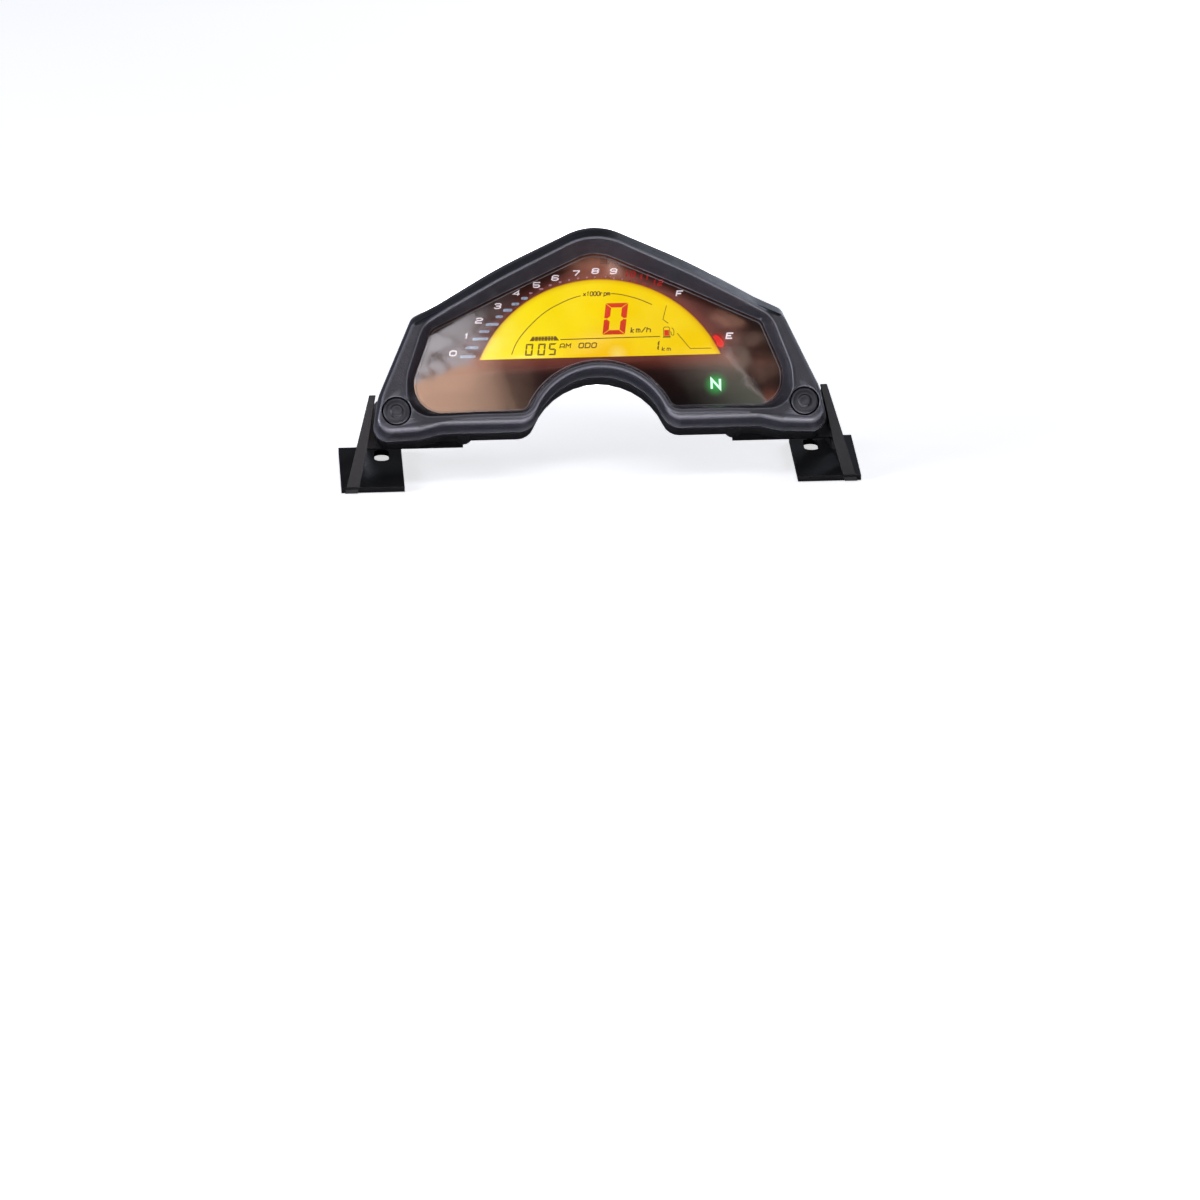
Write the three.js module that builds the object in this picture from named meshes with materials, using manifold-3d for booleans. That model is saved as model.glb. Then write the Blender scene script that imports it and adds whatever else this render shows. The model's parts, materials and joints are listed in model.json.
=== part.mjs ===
/**
 * Motorcycle instrument cluster: a half-moon LCD speedometer in a five-sided bezel with two
 * push buttons, a sealed rear case with its circuit board, and a rubber-isolated steel bracket.
 *
 * Sizes are millimetres. Everything is drawn in the dial's own frame: x runs to the rider's
 * right, y runs up the dial from the line through the two buttons, and z points out of the
 * dial towards the rider, with z = 0 on the flat faces of the bezel's wings. At the end the
 * whole dial is leaned back and stood on the bracket's feet.
 */
import * as THREE from "three";
import { mergeVertices } from "three/addons/utils/BufferGeometryUtils.js";
import Module from "manifold-3d";

const wasm = await Module();
wasm.setup();

// ---------------------------------------------------------------- driving dimensions

const DIAL_LEAN = THREE.MathUtils.degToRad(30); // the top of the dial leans back this far
const GAP = 0.3; // clearance between parts that touch

const BUTTON_X = 90; // each button's distance from the centre line
const BUTTON_RADIUS = 6.1;
const BUTTON_TRAVEL = 1.2;
const PLUNGER_TRAVEL = 0.3;
const WELL_RADIUS = 6.5; // the hole that a button slides in
const WELL_WALL = 1.2;
const WELL_DEPTH = 12;

const WALL = 1.4; // bezel wall
const RIM_Z = -15; // where the bezel ends and the rear case begins
const ROOF_Z = -7; // roof of the bezel's inner hollow
const WING_ROOF_Z = -2.5; // the hollow's roof behind the wings
const LIP_Z = -12; // front of the window lip
const LIP_BACK_Z = -13;

const GASKET_Z = [-13.9, -13.3];
const LENS_Z = [-16.2, -14.2];
const MASK_Z = [-17.0, -16.5];
const FRAME_FRONT_Z = -17.3;
const FRAME_PLATE = 1;
const FRONT_POLARIZER_Z = [-17.7, -17.3];
const FRONT_GLASS_Z = [-19.1, -18.0];
const REAR_GLASS_Z = [-20.5, -19.4];
const REAR_POLARIZER_Z = [-21.2, -20.8];
const DIFFUSER_Z = [-22.3, -21.5];
const FRAME_LEDGE_Z = -22.6;
const FRAME_FLOOR_Z = [-29.6, -28.6];
const BOARD_Z = [-31.5, -29.9];
const SEAL_Z = [-15.8, -15.3];
const CASE_RIM_Z = -16.1;
const CASE_FLOOR_Z = -35;
const CASE_BACK_Z = -37;

const LCD_CENTRE = [1.2, 3.4]; // centre of the half-moon display's arc, a little right of the middle
const LCD_RADIUS = 58.2;
const LCD_CHORD_Y = 26;

const CASE_SCREWS = [
  [0, 77.6],
  [77.6, 42.4],
  [-77.6, 42.4],
  [89, 15],
  [-89, 15],
  [60, -3.4],
  [-60, -3.4],
];
const BOSS_RADIUS = 2.8;
const CASE_BOSS_RADIUS = 4.2;
const BOSS_MEETING_Z = -18.9;
const PILOT_RADIUS = 1.2;
const SCREW_SEAT_Z = -21.2;
const SCREW_TIP_Z = -11.5;

const BRACKET_MOUNTS = [
  [0, 55.5],
  [74, 8],
  [-74, 8],
];
const MOUNT_BOSS_Z = -40.5;
const PLATE_Z = [-45.5, -43];
const PLATE = 2.5; // bracket sheet
const FOOT_LEVEL = -38; // height of the surface the feet stand on, from the button line
const FOOT_X = [87, 115];
const FOOT_Y = [2, 62];
const FOOT_BOLT_Y = [44, 54];
const LEG_SPLAY = THREE.MathUtils.degToRad(15);
const LEG_TOP = [101.5, 12];

const CONNECTOR_Y = 36;
const SHROUD_BACK_Z = -50;
const PIN_TIP_Z = -43;

// name, x, y and size of each light cell beside the display
const LIGHT_CELLS = [
  { name: "neutral_led", x: 50.5, y: 12.9, size: 9 },
  { name: "engine_warning_led", x: 65, y: 13.4, size: 9 },
  { name: "low_fuel_led", x: 57.4, y: 33.2, size: 7 },
  { name: "high_beam_led", x: 3.6, y: 68.4, size: 5.4 },
];
const BACKLIGHT_LEDS = [
  [-36, 34],
  [-12, 34],
  [12, 34],
  [36, 34],
];

// ---------------------------------------------------------------- outlines

/** Points along the arc that rounds the corner [x, y, radius] between its two neighbours. */
function roundedCorner(before, [x, y, radius], after, steps) {
  const corner = new THREE.Vector2(x, y);
  const back = new THREE.Vector2(before[0], before[1]).sub(corner).normalize();
  const on = new THREE.Vector2(after[0], after[1]).sub(corner).normalize();
  const half = Math.acos(THREE.MathUtils.clamp(back.dot(on), -1, 1)) / 2;
  const reach = radius / Math.sin(half);
  const centre = back.clone().add(on).normalize().multiplyScalar(reach).add(corner);
  const side = Math.sign(back.cross(on));
  const sweep = side * (Math.PI - 2 * half);
  const start = back.multiplyScalar(radius / Math.tan(half)).add(corner).sub(centre);
  return Array.from({ length: steps + 1 }, (_, i) =>
    start.clone().rotateAround(new THREE.Vector2(), (-sweep * i) / steps).add(centre),
  );
}

/**
 * The cluster's outline at one level, anticlockwise, as always the same number of points.
 * The corners run from the shoulder of the right half down to the bottom edge; the arch is the
 * round notch over the ignition lock, met by the bottom edge through a fillet.
 */
function clusterOutline({ apex, upper, shoulder, corner, side, lower, dip, rise, arch }) {
  const right = [upper, shoulder, corner, side, lower, dip, rise];
  const steps = [2, 2, 4, 3, 6, 2, 2];
  const [centreY, radius, fillet] = arch;
  const bottom = rise[1];
  const filletY = bottom + fillet;
  const filletX = Math.sqrt((radius + fillet) ** 2 - (filletY - centreY) ** 2);
  const lift = Math.atan2(filletY - centreY, filletX);
  const points = [];
  right.forEach((here, i) => {
    const before = i ? right[i - 1] : [0, apex[0]];
    const after = right[i + 1] ?? [filletX, bottom];
    points.push(...roundedCorner(before, here, after, steps[i]));
  });
  const filletSteps = 4;
  for (let i = 0; i <= filletSteps; i++) {
    const angle = -Math.PI / 2 - (Math.PI / 2 - lift) * (i / filletSteps);
    const x = filletX + fillet * Math.cos(angle);
    points.push(new THREE.Vector2(x, filletY + fillet * Math.sin(angle)));
  }
  const mirrored = points.map((p) => new THREE.Vector2(-p.x, p.y)).reverse();
  const archSteps = 14;
  for (let i = 1; i < archSteps; i++) {
    const angle = lift + (Math.PI - 2 * lift) * (i / archSteps);
    const x = radius * Math.cos(angle);
    points.push(new THREE.Vector2(x, centreY + radius * Math.sin(angle)));
  }
  const left = [-upper[0], upper[1]];
  const top = roundedCorner(left, [0, ...apex], upper, 6);
  return [...top, ...points, ...mirrored].reverse();
}

/** Moves every edge of an anticlockwise outline outwards by a distance. */
function offset(outline, distance) {
  return outline.map((point, i) => {
    const before = outline.at(i - 1);
    const after = outline[(i + 1) % outline.length];
    const arriving = point.clone().sub(before).normalize();
    const leaving = after.clone().sub(point).normalize();
    const along = arriving.clone().add(leaving).normalize();
    const mitre = distance / along.dot(leaving);
    return new THREE.Vector2(point.x + along.y * mitre, point.y - along.x * mitre);
  });
}

/** The outline part of the way from one to another. */
function between(from, to, share) {
  return from.map((point, i) => point.clone().lerp(to[i], share));
}

function atLevel(outline, z) {
  return outline.map((point) => new THREE.Vector3(point.x, point.y, z));
}

/** A segment of the display's circle above a level chord. */
function displaySegment(radius, chordY, steps = 28) {
  const [centreX, centreY] = LCD_CENTRE;
  const start = Math.asin((chordY - centreY) / radius);
  return Array.from({ length: steps + 1 }, (_, i) => {
    const angle = start + (Math.PI - 2 * start) * (i / steps);
    return new THREE.Vector2(
      centreX + radius * Math.cos(angle),
      centreY + radius * Math.sin(angle),
    );
  });
}

/** The same outline with half the points, for thin flat pieces. */
function coarser(outline) {
  return outline.filter((_, i) => i % 2 === 0);
}

function mirrorAcross(half) {
  return [...half, ...half.map(([x, y]) => [-x, y]).reverse()];
}

// front edge of the wings and of the sloping flank
const FACE = clusterOutline({
  apex: [81.8, 27],
  upper: [42, 60.9, 250],
  shoulder: [70.5, 45.2, 20],
  corner: [81.8, 39.7, 4.5],
  side: [95.8, 8, 30],
  lower: [99.9, -9.8, 6],
  dip: [80, -8.9, 12],
  rise: [70, -6.5, 12],
  arch: [-13.5, 31, 8],
});
// parting line between bezel and rear case
const PARTING = clusterOutline({
  apex: [87.3, 27],
  upper: [42, 67.7, 250],
  shoulder: [70, 51.2, 20],
  corner: [82, 45.2, 5],
  side: [98, 9, 30],
  lower: [101.4, -10.8, 6.6],
  dip: [80, -9.9, 12],
  rise: [70, -7.5, 12],
  arch: [-13.5, 30, 9],
});
// crest of the bead around the dial
const RIDGE = clusterOutline({
  apex: [79.3, 27],
  upper: [42, 58.7, 250],
  shoulder: [66, 45.4, 25],
  corner: [77.2, 38.6, 12],
  side: [85.1, 16, 25],
  lower: [85.7, -3, 11],
  dip: [66, -2.9, 20],
  rise: [56, -2.5, 20],
  arch: [-13.5, 33, 6.5],
});
// edge of the window at the bottom of the recess
const WINDOW = clusterOutline({
  apex: [74, 18],
  upper: [40, 55.7, 250],
  shoulder: [63, 44.6, 30],
  corner: [73.2, 39.8, 4.5],
  side: [81.5, 18, 12],
  lower: [81.9, 1.2, 12.5],
  dip: [64, 1.3, 20],
  rise: [54, 1.5, 20],
  arch: [-10.8, 34, 5],
});

// ---------------------------------------------------------------- solids

/** A closed three.js geometry as a manifold solid. */
function solid(geometry) {
  const bare = geometry.clone();
  bare.deleteAttribute("normal");
  bare.deleteAttribute("uv");
  const merged = mergeVertices(bare, 1e-4);
  const corners = merged.index.array;
  const triangles = [];
  for (let i = 0; i < corners.length; i += 3) {
    const [a, b, c] = corners.slice(i, i + 3);
    if (a !== b && b !== c && c !== a) triangles.push([a, b, c]);
  }
  const vertProperties = Float32Array.from(merged.attributes.position.array);
  const build = (list) =>
    new wasm.Manifold(
      new wasm.Mesh({ numProp: 3, vertProperties, triVerts: Uint32Array.from(list.flat()) }),
    );
  const made = build(triangles);
  return made.volume() > 0 ? made : build(triangles.map(([a, b, c]) => [a, c, b]));
}

/** Skins rows of points, each a ring with the same count; closed rows meet end to end. */
function loft(rows, closed = false) {
  const count = rows[0].length;
  const positions = rows.flat().flatMap((p) => [p.x, p.y, p.z]);
  const index = [];
  const bands = closed ? rows.length : rows.length - 1;
  for (let row = 0; row < bands; row++) {
    const low = row * count;
    const high = ((row + 1) % rows.length) * count;
    for (let i = 0; i < count; i++) {
      const j = (i + 1) % count;
      index.push(low + i, low + j, high + j, low + i, high + j, high + i);
    }
  }
  if (!closed) {
    const top = (rows.length - 1) * count;
    for (const [a, b, c] of THREE.ShapeUtils.triangulateShape(rows[0], [])) {
      index.push(c, b, a);
    }
    for (const [a, b, c] of THREE.ShapeUtils.triangulateShape(rows.at(-1), [])) {
      index.push(top + a, top + b, top + c);
    }
  }
  const geometry = new THREE.BufferGeometry();
  geometry.setAttribute("position", new THREE.Float32BufferAttribute(positions, 3));
  geometry.setIndex(index);
  return solid(geometry);
}

/** A loop of points, or of [x, y] pairs, as points that run anticlockwise. */
function anticlockwise(loop) {
  const points = loop.map((p) => (p.isVector2 ? p : new THREE.Vector2(...p)));
  return THREE.ShapeUtils.isClockWise(points) ? points.reverse() : points;
}

function extruded(outline, depth, holes = []) {
  const shape = new THREE.Shape(anticlockwise(outline));
  shape.holes = holes.map((hole) => new THREE.Path(anticlockwise(hole)));
  return new THREE.ExtrudeGeometry(shape, { depth, bevelEnabled: false });
}

function prism(outline, [low, high], holes = []) {
  return solid(extruded(outline, high - low, holes).translate(0, 0, low));
}

function block([x0, x1], [y0, y1], [z0, z1]) {
  const geometry = new THREE.BoxGeometry(x1 - x0, y1 - y0, z1 - z0);
  return solid(geometry.translate((x0 + x1) / 2, (y0 + y1) / 2, (z0 + z1) / 2));
}

function blockAt(x, y, width, height, levels) {
  return block([x - width / 2, x + width / 2], [y - height / 2, y + height / 2], levels);
}

function rod(x, y, radius, [low, high], sides = 16) {
  const geometry = new THREE.CylinderGeometry(radius, radius, high - low, sides);
  return solid(geometry.rotateX(Math.PI / 2).translate(x, y, (low + high) / 2));
}

/** Turns a profile of [radius, z] points about the axis through x, y. */
function turned(x, y, profile, sides = 20) {
  const points = profile.map(([radius, z]) => new THREE.Vector2(radius, z));
  const geometry = new THREE.LatheGeometry(points, sides);
  return solid(geometry.rotateX(Math.PI / 2).translate(x, y, 0));
}

function ringOf(profile) {
  return [...profile, profile[0]];
}

function union(pieces) {
  return pieces.reduce((joined, piece) => joined.add(piece));
}

/** A block drawn level with the ground instead of with the dial. */
function levelBlock([x0, x1], [y0, y1], [z0, z1]) {
  const geometry = new THREE.BoxGeometry(x1 - x0, y1 - y0, z1 - z0);
  geometry.translate((x0 + x1) / 2, (y0 + y1) / 2, (z0 + z1) / 2);
  return solid(geometry.rotateX(DIAL_LEAN - Math.PI / 2));
}

/** An upright hole through a foot, with round ends along y. */
function levelSlot(x, [y0, y1], radius, [z0, z1]) {
  const ends = [y0, y1].map((y) => {
    const geometry = new THREE.CylinderGeometry(radius, radius, z1 - z0, 16);
    geometry.rotateX(Math.PI / 2).translate(x, y, (z0 + z1) / 2);
    return solid(geometry.rotateX(DIAL_LEAN - Math.PI / 2));
  });
  return union([...ends, levelBlock([x - radius, x + radius], [y0, y1], [z0, z1])]);
}

// ---------------------------------------------------------------- materials and parts

function plastic(color, roughness = 0.55) {
  return new THREE.MeshStandardMaterial({ color, roughness, metalness: 0 });
}

function metal(color, roughness = 0.35) {
  return new THREE.MeshStandardMaterial({ color, roughness, metalness: 1 });
}

function clear(color, opacity) {
  const finish = { color, roughness: 0.05, metalness: 0, transparent: true, opacity };
  return new THREE.MeshStandardMaterial(finish);
}

const dial = new THREE.Group();

/** Adds one named mesh to the dial. */
function part(name, material, body) {
  const mesh = body.getMesh();
  const geometry = new THREE.BufferGeometry();
  const positions = new THREE.BufferAttribute(mesh.vertProperties, mesh.numProp);
  geometry.setAttribute("position", positions);
  geometry.setIndex(new THREE.BufferAttribute(mesh.triVerts, 1));
  geometry.computeVertexNormals();
  const made = new THREE.Mesh(geometry, material);
  made.name = name;
  dial.add(made);
}

const SIDES = [
  ["left", -1],
  ["right", 1],
];

// ---------------------------------------------------------------- bezel

/** The bezel's shell, as one ring of rows round its section. */
function bezelShell() {
  const flankHigh = -1.2;
  const crest = 1.1;
  const wallAt = (z) => between(RIDGE, WINDOW, (crest - z) / (crest - LIP_Z));
  const flankAt = (z) => between(FACE, PARTING, (flankHigh - z) / (flankHigh - RIM_Z));
  return loft(
    [
      atLevel(PARTING, RIM_Z),
      atLevel(offset(FACE, 0.2), flankHigh),
      atLevel(offset(FACE, -0.2), -0.35),
      atLevel(offset(FACE, -0.7), 0),
      atLevel(offset(RIDGE, 1.0), 0),
      atLevel(offset(RIDGE, 0.5), crest - 0.1),
      atLevel(offset(RIDGE, -0.4), crest),
      atLevel(offset(RIDGE, -1.0), 0),
      atLevel(offset(wallAt(-5.5), -0.3), -5.5),
      atLevel(WINDOW, LIP_Z),
      atLevel(WINDOW, LIP_BACK_Z),
      atLevel(offset(WINDOW, 1.5), LIP_BACK_Z),
      atLevel(offset(wallAt(ROOF_Z), WALL), ROOF_Z),
      atLevel(offset(flankAt(ROOF_Z), -WALL), ROOF_Z),
      atLevel(offset(PARTING, -1.6), RIM_Z),
    ],
    true,
  );
}

/** The space that bosses may fill: inside the flank and outside the dial's recess. */
function insideFlank() {
  return loft([
    atLevel(offset(PARTING, -2.8), BOSS_MEETING_Z - 1),
    atLevel(offset(PARTING, -2.8), RIM_Z),
    atLevel(offset(PARTING, -0.4), RIM_Z),
    atLevel(offset(FACE, -0.4), -1),
  ]);
}

function dialRecess() {
  return loft([
    atLevel(offset(WINDOW, 0.5), LIP_BACK_Z),
    atLevel(offset(WINDOW, 0.5), LIP_Z),
    atLevel(offset(RIDGE, -0.4), 0),
    atLevel(offset(RIDGE, -0.4), 3),
  ]);
}

function wingHollows() {
  const levels = [ROOF_Z - 0.5, WING_ROOF_Z];
  const strip = prism(offset(FACE, -1.8), levels).subtract(
    prism(offset(RIDGE, 2), [ROOF_Z - 1, 0]),
  );
  const wings = SIDES.map(([, side]) => blockAt(side * BUTTON_X, 12, 28, 44, [-20, 0]));
  return strip.intersect(union(wings));
}

function makeBezel() {
  const bosses = CASE_SCREWS.map(([x, y]) =>
    rod(x, y, BOSS_RADIUS, [BOSS_MEETING_Z + GAP / 2, WING_ROOF_Z + 0.3]),
  );
  const wells = SIDES.map(([, side]) =>
    rod(side * BUTTON_X, 0, WELL_RADIUS + WELL_WALL, [-WELL_DEPTH, WING_ROOF_Z + 0.3], 24),
  );
  const added = union([...bosses, ...wells]).intersect(insideFlank()).subtract(dialRecess());
  const pilots = CASE_SCREWS.map(([x, y]) =>
    rod(x, y, PILOT_RADIUS, [BOSS_MEETING_Z - 1, SCREW_TIP_Z + 1], 8),
  );
  const bores = SIDES.map(([, side]) =>
    rod(side * BUTTON_X, 0, WELL_RADIUS, [-WELL_DEPTH - 1, 2], 24),
  );
  const body = bezelShell().subtract(wingHollows()).add(added);
  part("bezel", plastic(0x2a2b2e, 0.6), body.subtract(union([...pilots, ...bores])));
}

// ---------------------------------------------------------------- window, mask and seals

function makeWindow() {
  const edge = coarser(offset(WINDOW, 1.7));
  const inside = coarser(offset(WINDOW, 0.5));
  part("lens_gasket", plastic(0x111111, 0.9), prism(edge, GASKET_Z, [inside]));
  part("lens", clear(0x6b5550, 0.35), prism(edge, LENS_Z));
  const opening = displaySegment(LCD_RADIUS, LCD_CHORD_Y);
  part("dial_mask", plastic(0x4a2f2a, 0.5), prism(edge, MASK_Z, [opening]));
  const sealInside = coarser(offset(PARTING, -1.5));
  const seal = prism(coarser(offset(PARTING, -0.5)), SEAL_Z, [sealInside]);
  part("case_seal", plastic(0x0c0c0c, 0.95), seal);
}

// ---------------------------------------------------------------- display

function makeDisplay() {
  const front = displaySegment(LCD_RADIUS + 1.3, LCD_CHORD_Y - 1.4);
  const rear = displaySegment(LCD_RADIUS + 1.3, LCD_CHORD_Y - 5.1);
  const film = displaySegment(LCD_RADIUS + 0.8, LCD_CHORD_Y - 0.9);
  part("lcd_front_polarizer", clear(0xe8a51c, 0.5), prism(film, FRONT_POLARIZER_Z));
  part("lcd_front_glass", clear(0xf2e6b0, 0.35), prism(front, FRONT_GLASS_Z));
  part("lcd_rear_glass", clear(0xf2e6b0, 0.35), prism(rear, REAR_GLASS_Z));
  part("lcd_rear_polarizer", clear(0xe8a51c, 0.6), prism(film, REAR_POLARIZER_Z));
  part("backlight_diffuser", plastic(0xf5c93a, 0.6), prism(front, DIFFUSER_Z));
  for (const [name, side] of SIDES) {
    const strip = blockAt(side * 25, 22.6, 42, 2, [BOARD_Z[1] + GAP, REAR_GLASS_Z[0] - GAP]);
    part(`${name}_contact_strip`, plastic(0xd98a8a, 0.8), strip);
  }
}

/** The white frame: carries the mask, boxes in the display and walls off each lamp. */
function makeDisplayFrame() {
  const depth = [FRAME_FLOOR_Z[0], FRAME_FRONT_Z];
  const plate = prism(offset(WINDOW, 1.5), [FRAME_FRONT_Z - FRAME_PLATE, FRAME_FRONT_Z]);
  const box = prism(displaySegment(LCD_RADIUS + 3.4, LCD_CHORD_Y - 6.5), depth);
  const cells = LIGHT_CELLS.map(({ x, y, size }) => blockAt(x, y, size, size, depth));
  const stack = displaySegment(LCD_RADIUS + 1.8, LCD_CHORD_Y - 5.4);
  const cavity = displaySegment(LCD_RADIUS - 0.4, LCD_CHORD_Y - 0.6);
  const cuts = [
    prism(stack, [FRAME_LEDGE_Z, 0]),
    prism(cavity, [FRAME_FLOOR_Z[1], 0]),
    ...SIDES.map(([, side]) => blockAt(side * 25, 22.6, 43, 2.8, [-32, -20])),
    ...BACKLIGHT_LEDS.map(([x, y]) => blockAt(x, y, 4.6, 3.8, [-32, -28])),
    ...LIGHT_CELLS.map(({ x, y, size }) => blockAt(x, y, size - 2, size - 2, [-32, 0])),
  ];
  const body = union([plate, box, ...cells]).subtract(union(cuts));
  part("display_frame", plastic(0xe9e9e4, 0.6), body);
}

// ---------------------------------------------------------------- circuit board

function makeBoard() {
  const holes = CASE_SCREWS.map(([x, y]) => rod(x, y, CASE_BOSS_RADIUS + 0.5, [-40, -20]));
  const board = prism(offset(PARTING, -3.8), BOARD_Z).subtract(union(holes));
  part("circuit_board", plastic(0x1f5a34, 0.5), board);
  const ledLevels = [BOARD_Z[1] + GAP, BOARD_Z[1] + GAP + 1.3];
  BACKLIGHT_LEDS.forEach(([x, y], i) => {
    part(`backlight_led_${i + 1}`, plastic(0xffc23a, 0.4), blockAt(x, y, 3.5, 2.8, ledLevels));
  });
  const tints = [0x36e05a, 0xf0901e, 0xe8261c, 0x2d5fe0];
  LIGHT_CELLS.forEach(({ name, x, y }, i) => {
    part(name, plastic(tints[i], 0.4), blockAt(x, y, 2.8, 2.4, ledLevels));
  });
}

/** Components on the back of the board. */
function makeComponents() {
  const top = BOARD_Z[0] - GAP;
  part("microcontroller", plastic(0x17181a, 0.6), blockAt(-34, 42, 14, 14, [top - 1.6, top]));
  part("voltage_regulator", plastic(0x17181a, 0.6), blockAt(33, 44, 9, 7, [top - 2.3, top]));
  part("crystal", metal(0xb9bcc0, 0.3), blockAt(-49, 34, 5, 3.2, [top - 1.2, top]));
  [46, 53].forEach((x, i) => {
    const can = rod(x, 33, 2.6, [top - 2.9, top], 16);
    part(`capacitor_${i + 1}`, metal(0xa9adb3, 0.35), can);
  });
  const housing = blockAt(0, CONNECTOR_Y, 30, 11, [top - 3.2, top]);
  const pins = [];
  for (let column = 0; column < 8; column++) {
    for (const y of [CONNECTOR_Y - 2.5, CONNECTOR_Y + 2.5]) {
      pins.push(blockAt(3.5 * (column - 3.5), y, 0.9, 0.9, [PIN_TIP_Z, top - 1]));
    }
  }
  part("connector_header", plastic(0xcfcabc, 0.5), union([housing, ...pins]));
}

// ---------------------------------------------------------------- rear case

function makeRearCase() {
  const outer = loft([
    atLevel(offset(PARTING, -2.8), CASE_BACK_Z),
    atLevel(offset(PARTING, -1.3), CASE_BACK_Z + 1.5),
    atLevel(offset(PARTING, -0.9), -18.4),
    atLevel(PARTING, -17.9),
    atLevel(PARTING, CASE_RIM_Z),
  ]);
  const inner = loft([
    atLevel(offset(PARTING, -2.6), CASE_FLOOR_Z),
    atLevel(offset(PARTING, -2.4), -19),
    atLevel(offset(PARTING, -1.9), -17.5),
    atLevel(offset(PARTING, -1.9), 0),
  ]);
  const columns = CASE_SCREWS.map(([x, y]) =>
    rod(x, y, CASE_BOSS_RADIUS, [CASE_BACK_Z, BOSS_MEETING_Z - GAP / 2]),
  );
  const mounts = BRACKET_MOUNTS.map(([x, y]) => rod(x, y, 6.5, [MOUNT_BOSS_Z, -32]));
  const shroud = blockAt(0, CONNECTOR_Y, 36, 17, [SHROUD_BACK_Z, CASE_FLOOR_Z - 1]);
  const ribs = [-1, 1].flatMap((side) => [
    blockAt(side * 34, CONNECTOR_Y, 34, 1.6, [CASE_BACK_Z - 1.4, CASE_BACK_Z + 1]),
    blockAt(side * 52, 24, 1.6, 38, [CASE_BACK_Z - 1.4, CASE_BACK_Z + 1]),
  ]);
  const counterbores = CASE_SCREWS.map(([x, y]) => rod(x, y, 3.1, [-40, SCREW_SEAT_Z]));
  const shanks = CASE_SCREWS.map(([x, y]) => rod(x, y, 1.5, [-40, 0], 8));
  const inserts = BRACKET_MOUNTS.map(([x, y]) => rod(x, y, 2.8, [-50, -33.5]));
  const socket = blockAt(0, CONNECTOR_Y, 32, 13, [-60, -30]);
  const vent = rod(-68, 30, 2.7, [-40, -30]);
  const body = union([outer.subtract(inner), ...columns, ...mounts, shroud, ...ribs]);
  const cuts = union([...counterbores, ...shanks, ...inserts, socket, vent]);
  part("rear_case", plastic(0x151516, 0.65), body.subtract(cuts));
}

function makeCaseFittings() {
  const under = CASE_BACK_Z - GAP;
  const vent = [[0, -34.5], [2.3, -34.5], [2.3, under], [4.6, under], [5, under - 0.8]];
  vent.push([4.2, under - 1.9], [0, under - 2.2]);
  part("breather_vent", plastic(0x9aa0a6, 0.7), turned(-68, 30, vent, 16));
  const seat = SCREW_SEAT_Z - GAP;
  CASE_SCREWS.forEach(([x, y], i) => {
    const profile = [[0, SCREW_TIP_Z + 0.4], [0.9, SCREW_TIP_Z], [0.9, seat]];
    profile.push([2.6, seat], [2.8, seat - 0.6], [2.1, seat - 1.8], [0, seat - 2.1]);
    part(`case_screw_${i + 1}`, metal(0x8e9196, 0.35), turned(x, y, profile, 10));
  });
}

// ---------------------------------------------------------------- buttons and switches

/** One button, its boot and guide, and the switch on the board that it presses. */
function makeButton(name, x) {
  const capBottom = -3;
  const guide = [-11.5, -9];
  const bodyTop = -26.1;
  const plungerTop = -25.1;
  const pressGap = BUTTON_TRAVEL - PLUNGER_TRAVEL + 0.2;
  const stemEnd = plungerTop + pressGap;
  const cap = [[0, 0.9], [2.1, 0.9], [2.5, 0.55], [2.6, 0.3], [5.2, 0.3], [5.8, 0.1]];
  cap.push([BUTTON_RADIUS, -0.4], [BUTTON_RADIUS, capBottom], [2.2, capBottom]);
  cap.push([2.2, guide[0] - GAP], [3.1, guide[0] - GAP], [2.2, -14], [2.2, stemEnd]);
  cap.push([0, stemEnd]);
  part(`${name}_button`, plastic(0x26272a, 0.6), turned(x, 0, cap, 24));
  const bootTop = capBottom - GAP;
  const bootFoot = guide[1] + GAP;
  const boot = ringOf([
    [6.1, bootFoot],
    [6.1, bootFoot + 1],
    [5.3, bootFoot + 1.6],
    [4.6, bootTop],
    [2.6, bootTop],
    [2.6, bootTop - 1],
    [3.8, bootTop - 1.2],
    [4.5, bootFoot],
  ]);
  part(`${name}_button_boot`, plastic(0x3a3a3a, 0.9), turned(x, 0, boot, 14));
  const collar = ringOf([
    [2.6, guide[0]],
    [6.2, guide[0]],
    [6.2, guide[1]],
    [2.6, guide[1]],
  ]);
  part(`${name}_button_guide`, plastic(0x44464a, 0.6), turned(x, 0, collar, 16));
  const bodyFoot = BOARD_Z[1] + GAP;
  const well = rod(x, 0, 2.1, [bodyTop - 2.1, 0], 16);
  const body = blockAt(x, 0, 6, 6, [bodyFoot, bodyTop]).subtract(well);
  part(`${name}_switch_body`, plastic(0x2c2c2e, 0.5), body);
  const plunger = rod(x, 0, 1.7, [bodyTop - 1.5, plungerTop], 14);
  part(`${name}_switch_plunger`, plastic(0xd9d5c8, 0.5), plunger);
}

// ---------------------------------------------------------------- bracket and its fixings

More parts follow.
